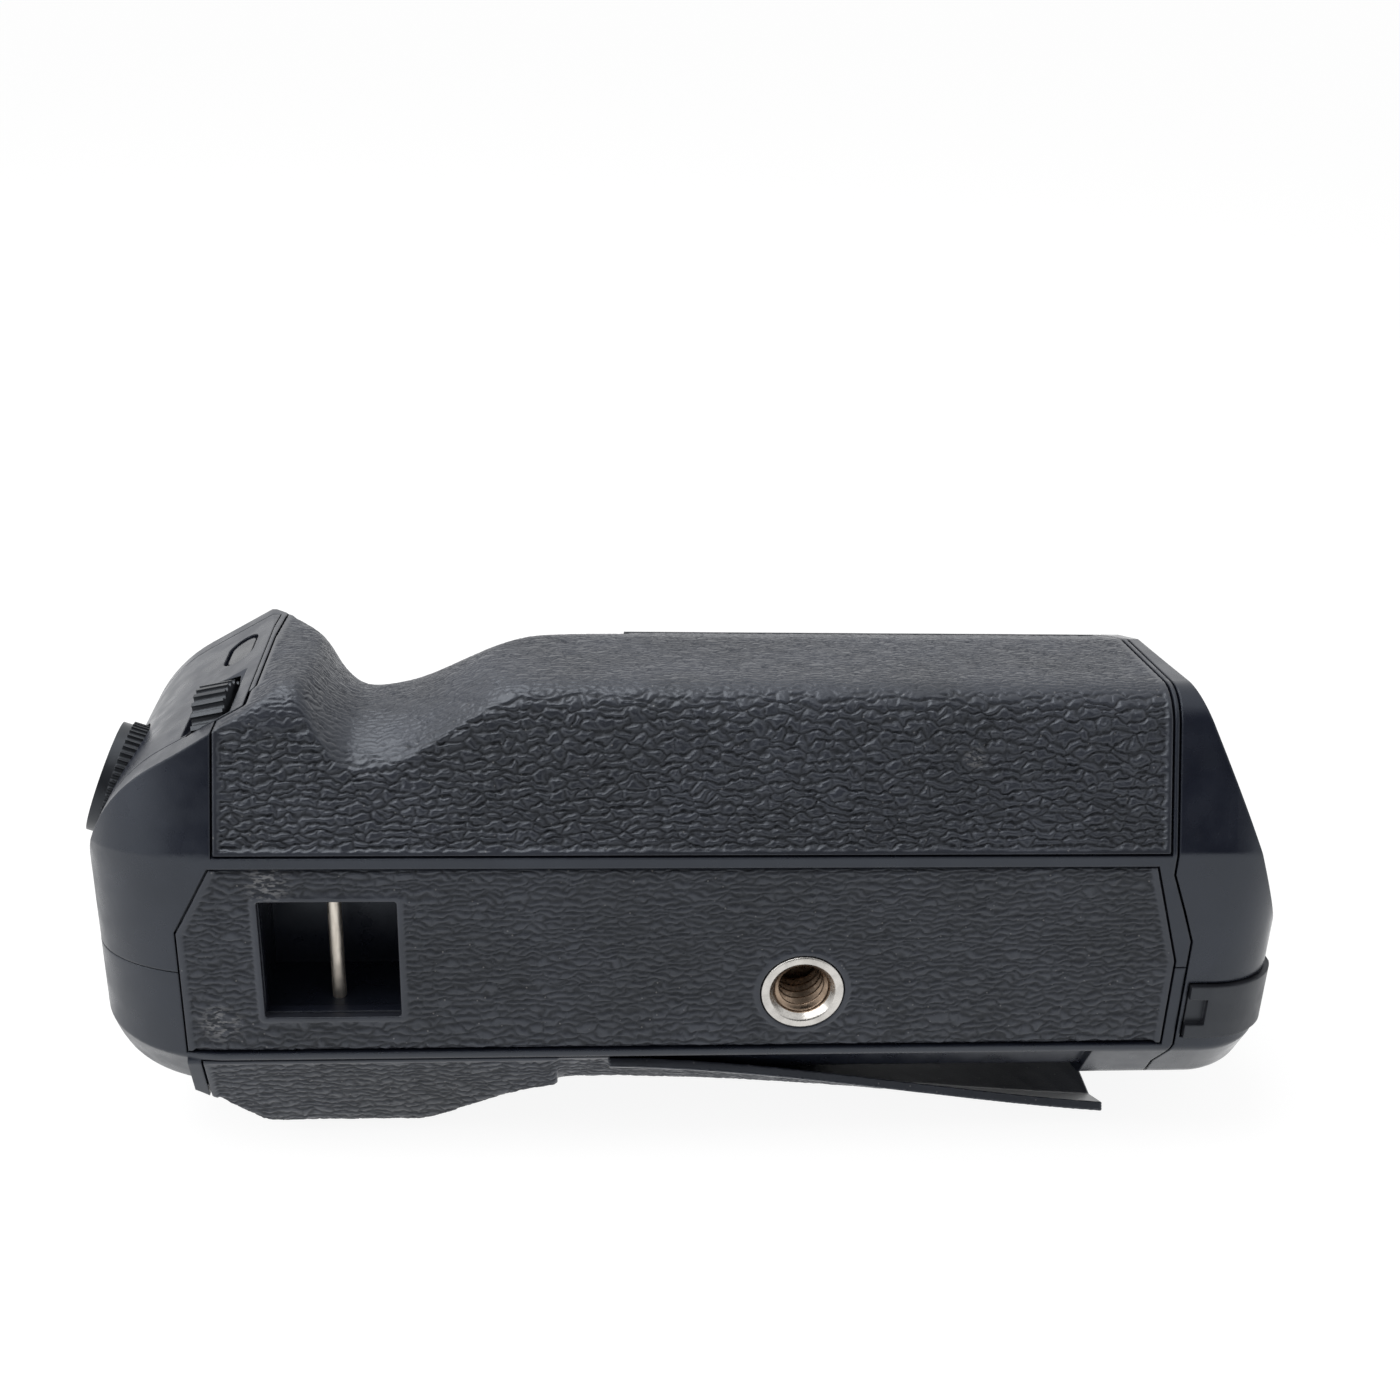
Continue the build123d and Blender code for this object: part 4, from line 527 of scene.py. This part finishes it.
for place, reach in SCUFFS:
    away = nodes.new("ShaderNodeVectorMath")
    away.operation = "DISTANCE"
    away.inputs[1].default_value = place
    links.new(point, away.inputs[0])
    patch = ramp(nodes, links, away.outputs["Value"], reach, 0.2 * reach)
    fibres = noise(nodes, links, point, 0.5, detail=4, stretch=(1.6, 1, 0.6))
    streaks = ramp(nodes, links, fibres, 0.48, 0.6, end=0.9)
    worn = laid_over(nodes, links, worn, SCUFF_GREY, multiply(nodes, links, patch, streaks))
links.new(worn, shader.inputs["Base Color"])
dull_creases = ramp(nodes, links, painted_shade_amount.outputs["Fac"], 0.0, 0.8, 0.32, 0.6)
links.new(dull_creases, shader.inputs["Roughness"])
shader.inputs["Specular IOR Level"].default_value = PLASTIC_GLOSS
shader.inputs["Specular Tint"].default_value = RUBBER_SHEEN
pores = noise(nodes, links, point, 0.22)
links.new(bump(nodes, links, pores, 0.00002), shader.inputs["Normal"])

leather_skin("front_skin", cell=(1.75, 0.95), crease=0.48, seed=11, ridge_only=True, seamless=True)
leather_skin("base_skin", cell=(2.0, 0.75), crease=0.25, seed=23)
leather_skin("rear_skin", cell=(1.9, 0.8), crease=0.18, seed=37, seamless=True)

# The tripod socket, a stainless bush turned on a lathe and screwed into the steel chassis.
# Its quarter-inch thread has 20 turns to the inch, and its mouth is countersunk.
# All sizes here are millimetres, and depths run inwards from the mouth.
THREAD_MAJOR = 3.17
THREAD_MINOR = 2.62
THREAD_PITCH = 1.27
THREAD_FLAT = 0.12
THREAD_ROWS = 89
THREAD_STEP = 0.0725
RUN_IN_ROWS = 6
BORE_RADIUS = 2.6
BORE_DEPTH = 7.38
OUTER_EDGE = ((0.0, 0.14), (0.04, 0.05), (0.14, 0.0))
MOUTH_LIP = ((3.98, 0.0), (3.86, 0.03), (3.78, 0.12))
SINK_ROWS = 6
SINK_WIDTH = 0.57
SINK_DEPTH = 0.75
THROAT_RADIUS = 3.21
THROAT_DEPTH = 0.87
OILED_WITHIN = 3.3
OILED_FROM = 0.6
SOCKET_ROUND = 96
socket_low, socket_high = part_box("tripod_socket")
socket_centre = (socket_low + socket_high) / 2
socket_radius = (socket_high.x - socket_low.x) * 500
socket_length = (socket_high.y - socket_low.y) * 1000


def turned_metal(name, colour, roughness, marks_size, depth=0.000004, stretch=(1, 1, 1)):
    """Bare metal with fine tool marks and slightly uneven tarnish."""
    material, nodes, links, shader, point = new_material(name)
    dull = [0.62 * part for part in colour]
    stains = noise(nodes, links, point, 1.7, detail=4)
    tarnish = ramp(nodes, links, stains, 0.35, 0.75, end=0.6)
    links.new(tint(nodes, links, tarnish, colour, dull), shader.inputs["Base Color"])
    shader.inputs["Metallic"].default_value = 1
    marks = noise(nodes, links, point, marks_size, detail=2, stretch=stretch)
    gloss = ramp(nodes, links, marks, *MID_NOISE, roughness - 0.06, roughness + 0.1)
    links.new(gloss, shader.inputs["Roughness"])
    surface = bump(nodes, links, marks, depth, rounded_edges(nodes, 0.00012))
    links.new(surface, shader.inputs["Normal"])
    return material


def thread_radius(depth, angle):
    """The bore's radius at a depth and an angle: a 60 degree thread with flat crests."""
    turn = (depth / THREAD_PITCH - angle / (2 * math.pi)) % 1
    slope = (abs(turn - 0.5) * 2 - THREAD_FLAT) / (1 - 2 * THREAD_FLAT)
    return THREAD_MINOR + (THREAD_MAJOR - THREAD_MINOR) * min(1, max(0, slope))


profile = [(0.0, socket_length), (socket_radius, socket_length)]
profile += [(socket_radius - inset, depth) for inset, depth in OUTER_EDGE]
profile += MOUTH_LIP
lip_radius, lip_depth = MOUTH_LIP[-1]
for i in range(1, SINK_ROWS + 1):
    sunk = i / SINK_ROWS
    profile.append((lip_radius - SINK_WIDTH * sunk, lip_depth + SINK_DEPTH * sunk))
angles = [2 * math.pi * j / SOCKET_ROUND for j in range(SOCKET_ROUND)]
rows = [[spot] * SOCKET_ROUND for spot in profile]
for i in range(1, THREAD_ROWS + 1):
    depth = THROAT_DEPTH + i * THREAD_STEP
    run_in = min(1, i / RUN_IN_ROWS)
    rows.append([
        (THROAT_RADIUS + (thread_radius(depth, angle) - THROAT_RADIUS) * run_in, depth)
        for angle in angles
    ])
rows.append([(BORE_RADIUS, BORE_DEPTH)] * SOCKET_ROUND)
rows.append([(0.0, BORE_DEPTH)] * SOCKET_ROUND)
socket = bmesh.new()
rings = []
for row in rows:
    rings.append([
        socket.verts.new((
            socket_centre.x + radius * math.cos(angle) / 1000,
            socket_low.y + depth / 1000,
            socket_centre.z + radius * math.sin(angle) / 1000,
        ))
        for (radius, depth), angle in zip(row, angles)
    ])
for one, two in zip(rings, rings[1:]):
    for j in range(SOCKET_ROUND):
        k = (j + 1) % SOCKET_ROUND
        socket.faces.new((one[j], one[k], two[k], two[j]))
bmesh.ops.remove_doubles(socket, verts=socket.verts, dist=1e-7)
bmesh.ops.recalc_face_normals(socket, faces=socket.faces)
for face in socket.faces:
    middle = (face.calc_center_median() - socket_centre) * 1000
    inside = math.hypot(middle.x, middle.z) < OILED_WITHIN
    deep = middle.y + socket_length / 2 > OILED_FROM
    face.smooth = True
    face.material_index = 1 if inside and deep else 0
socket_mesh = bpy.data.meshes.new("socket_bush")
socket.to_mesh(socket_mesh)
socket.free()
socket_mesh.set_sharp_from_angle(angle=math.radians(50))
socket_bush = bpy.data.objects.new("socket_bush", socket_mesh)
bpy.context.scene.collection.objects.link(socket_bush)
stainless = turned_metal("stainless", (0.62, 0.6, 0.57), roughness=0.27, marks_size=0.25)
oiled_thread = turned_metal(
    "oiled_thread", (0.36, 0.27, 0.2), roughness=0.3, marks_size=0.4, depth=0.000005
)
socket_mesh.materials.append(stainless)
socket_mesh.materials.append(oiled_thread)
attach(socket_bush, "grip")
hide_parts("tripod_socket")

# The bar across the strap's window, a steel rod pressed into the sides of the pocket.
# Years of a strap on it have left it satin and slightly warm in colour.
bar_steel = turned_metal(
    "bar_steel", (0.8, 0.74, 0.66), roughness=0.5, marks_size=0.3, stretch=(1, 1, 8)
)
dress(bar_steel, "strap_bar")

# What is turned or pressed: the two dials, the wheel of the camera screw, the ring, the lock's
# knob and the four buttons. All are moulded in hard black plastic and run on pins or in bores.
ridged_plastic = moulded_plastic(
    "ridged_plastic", (0.012, 0.0125, 0.015),
    roughness=0.38, grain=0.15, depth=0.000012, edge=0.0001, wear=0.2,
)
button_plastic = moulded_plastic(
    "button_plastic", (0.011, 0.012, 0.016),
    roughness=0.22, grain=0.2, depth=0.000004, edge=0.0002, wear=0.2,
)
dress(ridged_plastic, "front_dial", "rear_dial", "fixing_wheel", "shutter_collar", "lock_knob")
dress(button_plastic, "shutter_button", "function_button", "exposure_button", "focus_button")

# Metal parts: the screw that pulls the grip to the camera and its brass bush, locating pins,
# gold-plated contacts, the dials' pins, the lock's key and cam, springs, small screws and the
# zinc-plated chassis.
bright_steel = turned_metal("bright_steel", (0.6, 0.6, 0.61), roughness=0.25, marks_size=0.2)
turned_brass = turned_metal("turned_brass", (0.68, 0.5, 0.24), roughness=0.28, marks_size=0.2)
gold_plate = turned_metal(
    "gold_plate", (0.85, 0.6, 0.25), roughness=0.2, marks_size=0.3, depth=0.000003
)
zinc_plate = turned_metal(
    "zinc_plate", (0.5, 0.51, 0.53), roughness=0.38, marks_size=0.6, depth=0.000006
)
spring_steel = turned_metal(
    "spring_steel", (0.55, 0.55, 0.54), roughness=0.3, marks_size=0.3, stretch=(6, 1, 1)
)
black_screw = turned_metal("black_screw", (0.05, 0.05, 0.055), roughness=0.36, marks_size=0.2)
dress(bright_steel, "fixing_screw", "locating_pins", "front_dial_axle", "rear_dial_axle")
dress(bright_steel, "lock_key", "key_pin")
dress(turned_brass, "screw_bush")
dress(gold_plate, "contact_pins", "battery_contacts", "well_contacts")
dress(zinc_plate, "base_chassis", "lock_strike", "lock_cam")
dress(spring_steel, "pack_spring", "shutter_dome")
dress(black_screw, "plate_screws", "tray_screws")

# Soft and hidden plastics: the pad under the camera, the door's seal and the cover of the power
# port are rubber. The well, the tray and the carriers of contacts are moulded in a dull black.
soft_rubber = moulded_plastic(
    "soft_rubber", (0.017, 0.0175, 0.02),
    roughness=0.6, grain=0.3, depth=0.00003, edge=0.0003, wear=0.3,
)
dull_plastic = moulded_plastic(
    "dull_plastic", (0.016, 0.0165, 0.018),
    roughness=0.5, grain=0.25, depth=0.00002, edge=0.00015, wear=0.2,
)
port_rubber = moulded_plastic(
    "port_rubber", (0.0125, 0.013, 0.0165),
    roughness=0.42, grain=0.25, depth=0.00001, edge=0.0003, wear=0.3,
)
dress(soft_rubber, "mating_pad", "door_gasket")
dress(port_rubber, "dc_port_cover")
dress(dull_plastic, "battery_well", "magazine_tray", "cap_inner_plate", "contact_block")
dress(dull_plastic, "shutter_switch", "dial_encoders", "dc_jack")

# The electronics inside: fibreglass boards under a green mask, and the flat cable to the contacts.
# They show only where a joint opens the grip.
board_mask = moulded_plastic(
    "board_mask", (0.01, 0.06, 0.03),
    roughness=0.3, grain=0.5, depth=0.00001, edge=0.0001, wear=0.1,
)
cable_film = moulded_plastic(
    "cable_film", (0.28, 0.11, 0.03),
    roughness=0.3, grain=0.5, depth=0.00001, edge=0.0001, wear=0.1,
)
dress(board_mask, "circuit_board", "button_boards")
dress(cable_film, "flex_cable")

# A plain white table. The camera sees it mostly as white and a gloss sees it white as well,
# but what is left of its own paint still takes the shadow of the grip.
TABLE_HALF = 3
TABLE_WHITE = (0.86, 0.86, 0.86, 1)
TABLE_GLOW = 1.13
SHARE_FOR_CAMERA = 0.8
SHARE_FOR_GLOSS = 0.95
corners = [(x * TABLE_HALF, y * TABLE_HALF, 0) for x, y in ((-1, -1), (1, -1), (1, 1), (-1, 1))]
table_mesh = bpy.data.meshes.new("table_top")
table_mesh.from_pydata(corners, [], [(0, 1, 2, 3)])
table_top = bpy.data.objects.new("table_top", table_mesh)
bpy.context.scene.collection.objects.link(table_top)
table_paint, nodes, links, shader, point = new_material("table_paint")
shader.inputs["Base Color"].default_value = TABLE_WHITE
shader.inputs["Roughness"].default_value = 0.9
shader.inputs["Specular IOR Level"].default_value = 0.1
rays = nodes.new("ShaderNodeLightPath")
white = nodes.new("ShaderNodeEmission")
white.inputs["Strength"].default_value = TABLE_GLOW
seen = nodes.new("ShaderNodeMath")
seen.operation = "MAXIMUM"
for_camera = ramp(nodes, links, rays.outputs["Is Camera Ray"], 0, 1, end=SHARE_FOR_CAMERA)
for_gloss = ramp(nodes, links, rays.outputs["Is Glossy Ray"], 0, 1, end=SHARE_FOR_GLOSS)
links.new(for_camera, seen.inputs[0])
links.new(for_gloss, seen.inputs[1])
blend = nodes.new("ShaderNodeMixShader")
links.new(seen.outputs[0], blend.inputs["Fac"])
links.new(shader.outputs["BSDF"], blend.inputs[1])
links.new(white.outputs["Emission"], blend.inputs[2])
links.new(blend.outputs["Shader"], nodes["Material Output"].inputs["Surface"])
table_mesh.materials.append(table_paint)

# The white room round the table. What the grip mirrors of it is dark behind the camera and
# above it, as in the photograph's reflections.
ROOM_LIGHT = 0.45
DARK_SIDE = (0.0, -0.92, 0.39)
DARK_EDGE = (0.62, 0.94)
DARK_LEVEL = 0.04
room = bpy.data.worlds.new("room")
room.use_nodes = True
nodes, links = room.node_tree.nodes, room.node_tree.links
way = nodes.new("ShaderNodeTexCoord")
to_dark = nodes.new("ShaderNodeVectorMath")
to_dark.operation = "DOT_PRODUCT"
to_dark.inputs[1].default_value = DARK_SIDE
links.new(way.outputs["Generated"], to_dark.inputs[0])
seen_by_gloss = ramp(nodes, links, to_dark.outputs["Value"], *DARK_EDGE, 1.0, DARK_LEVEL)
rays = nodes.new("ShaderNodeLightPath")
mirrored = nodes.new("ShaderNodeMix")
mirrored.inputs["A"].default_value = ROOM_LIGHT
links.new(rays.outputs["Is Glossy Ray"], mirrored.inputs["Factor"])
links.new(seen_by_gloss, mirrored.inputs["B"])
direct = nodes.new("ShaderNodeMix")
direct.inputs["B"].default_value = 1
links.new(rays.outputs["Is Camera Ray"], direct.inputs["Factor"])
links.new(mirrored.outputs["Result"], direct.inputs["A"])
links.new(direct.outputs["Result"], nodes["Background"].inputs["Strength"])
nodes["Background"].inputs["Color"].default_value = (1, 1, 1, 1)
bpy.context.scene.world = room


# Two soft lamps: a wide one above, towards the shutter end, and a smaller one on the left.
def softbox(name, place, aim, width, height, power):
    """A flat lamp that points from its place to its aim."""
    lamp = bpy.data.lights.new(name, "AREA")
    lamp.shape = "RECTANGLE"
    lamp.size, lamp.size_y, lamp.energy = width, height, power
    holder = bpy.data.objects.new(name, lamp)
    holder.location = place
    holder.rotation_euler = (Vector(aim) - Vector(place)).to_track_quat("-Z", "Y").to_euler()
    bpy.context.scene.collection.objects.link(holder)


softbox("overhead_lamp", (-0.16, 0.03, 0.5), (0, 0, 0.03), width=0.5, height=0.35, power=1.9)
softbox("left_lamp", (-0.45, -0.12, 0.3), (-0.05, 0, 0.03), width=0.3, height=0.3, power=0.7)

# The camera, where the photograph was taken from: 0.2 m away, 25 degrees above the table.
# The lens and the angles were solved from the grip's base, ends and socket.
CAMERA_PLACE = (-0.012904, -0.186853, 0.138384)
CAMERA_PITCH = math.radians(25.160)
CAMERA_YAW = math.radians(4.572)
CAMERA_ROLL = math.radians(2.156)
FOCAL_LENGTH = 44.894
SENSOR_WIDTH = 36
ahead = Vector((
    math.sin(CAMERA_YAW) * math.cos(CAMERA_PITCH),
    math.cos(CAMERA_YAW) * math.cos(CAMERA_PITCH),
    -math.sin(CAMERA_PITCH),
))
level = Vector((math.cos(CAMERA_YAW), -math.sin(CAMERA_YAW), 0))
upright = level.cross(ahead)
right = math.cos(CAMERA_ROLL) * level + math.sin(CAMERA_ROLL) * upright
up = math.cos(CAMERA_ROLL) * upright - math.sin(CAMERA_ROLL) * level
turned = Matrix((right, up, -ahead)).transposed().to_4x4()
lens = bpy.data.cameras.new("camera")
lens.sensor_width = SENSOR_WIDTH
lens.lens = FOCAL_LENGTH
lens.clip_start = 0.01
lens.clip_end = 20
camera = bpy.data.objects.new("camera", lens)
camera.matrix_world = Matrix.Translation(CAMERA_PLACE) @ turned
bpy.context.scene.collection.objects.link(camera)
bpy.context.scene.camera = camera
bpy.context.scene.view_settings.view_transform = "Standard"
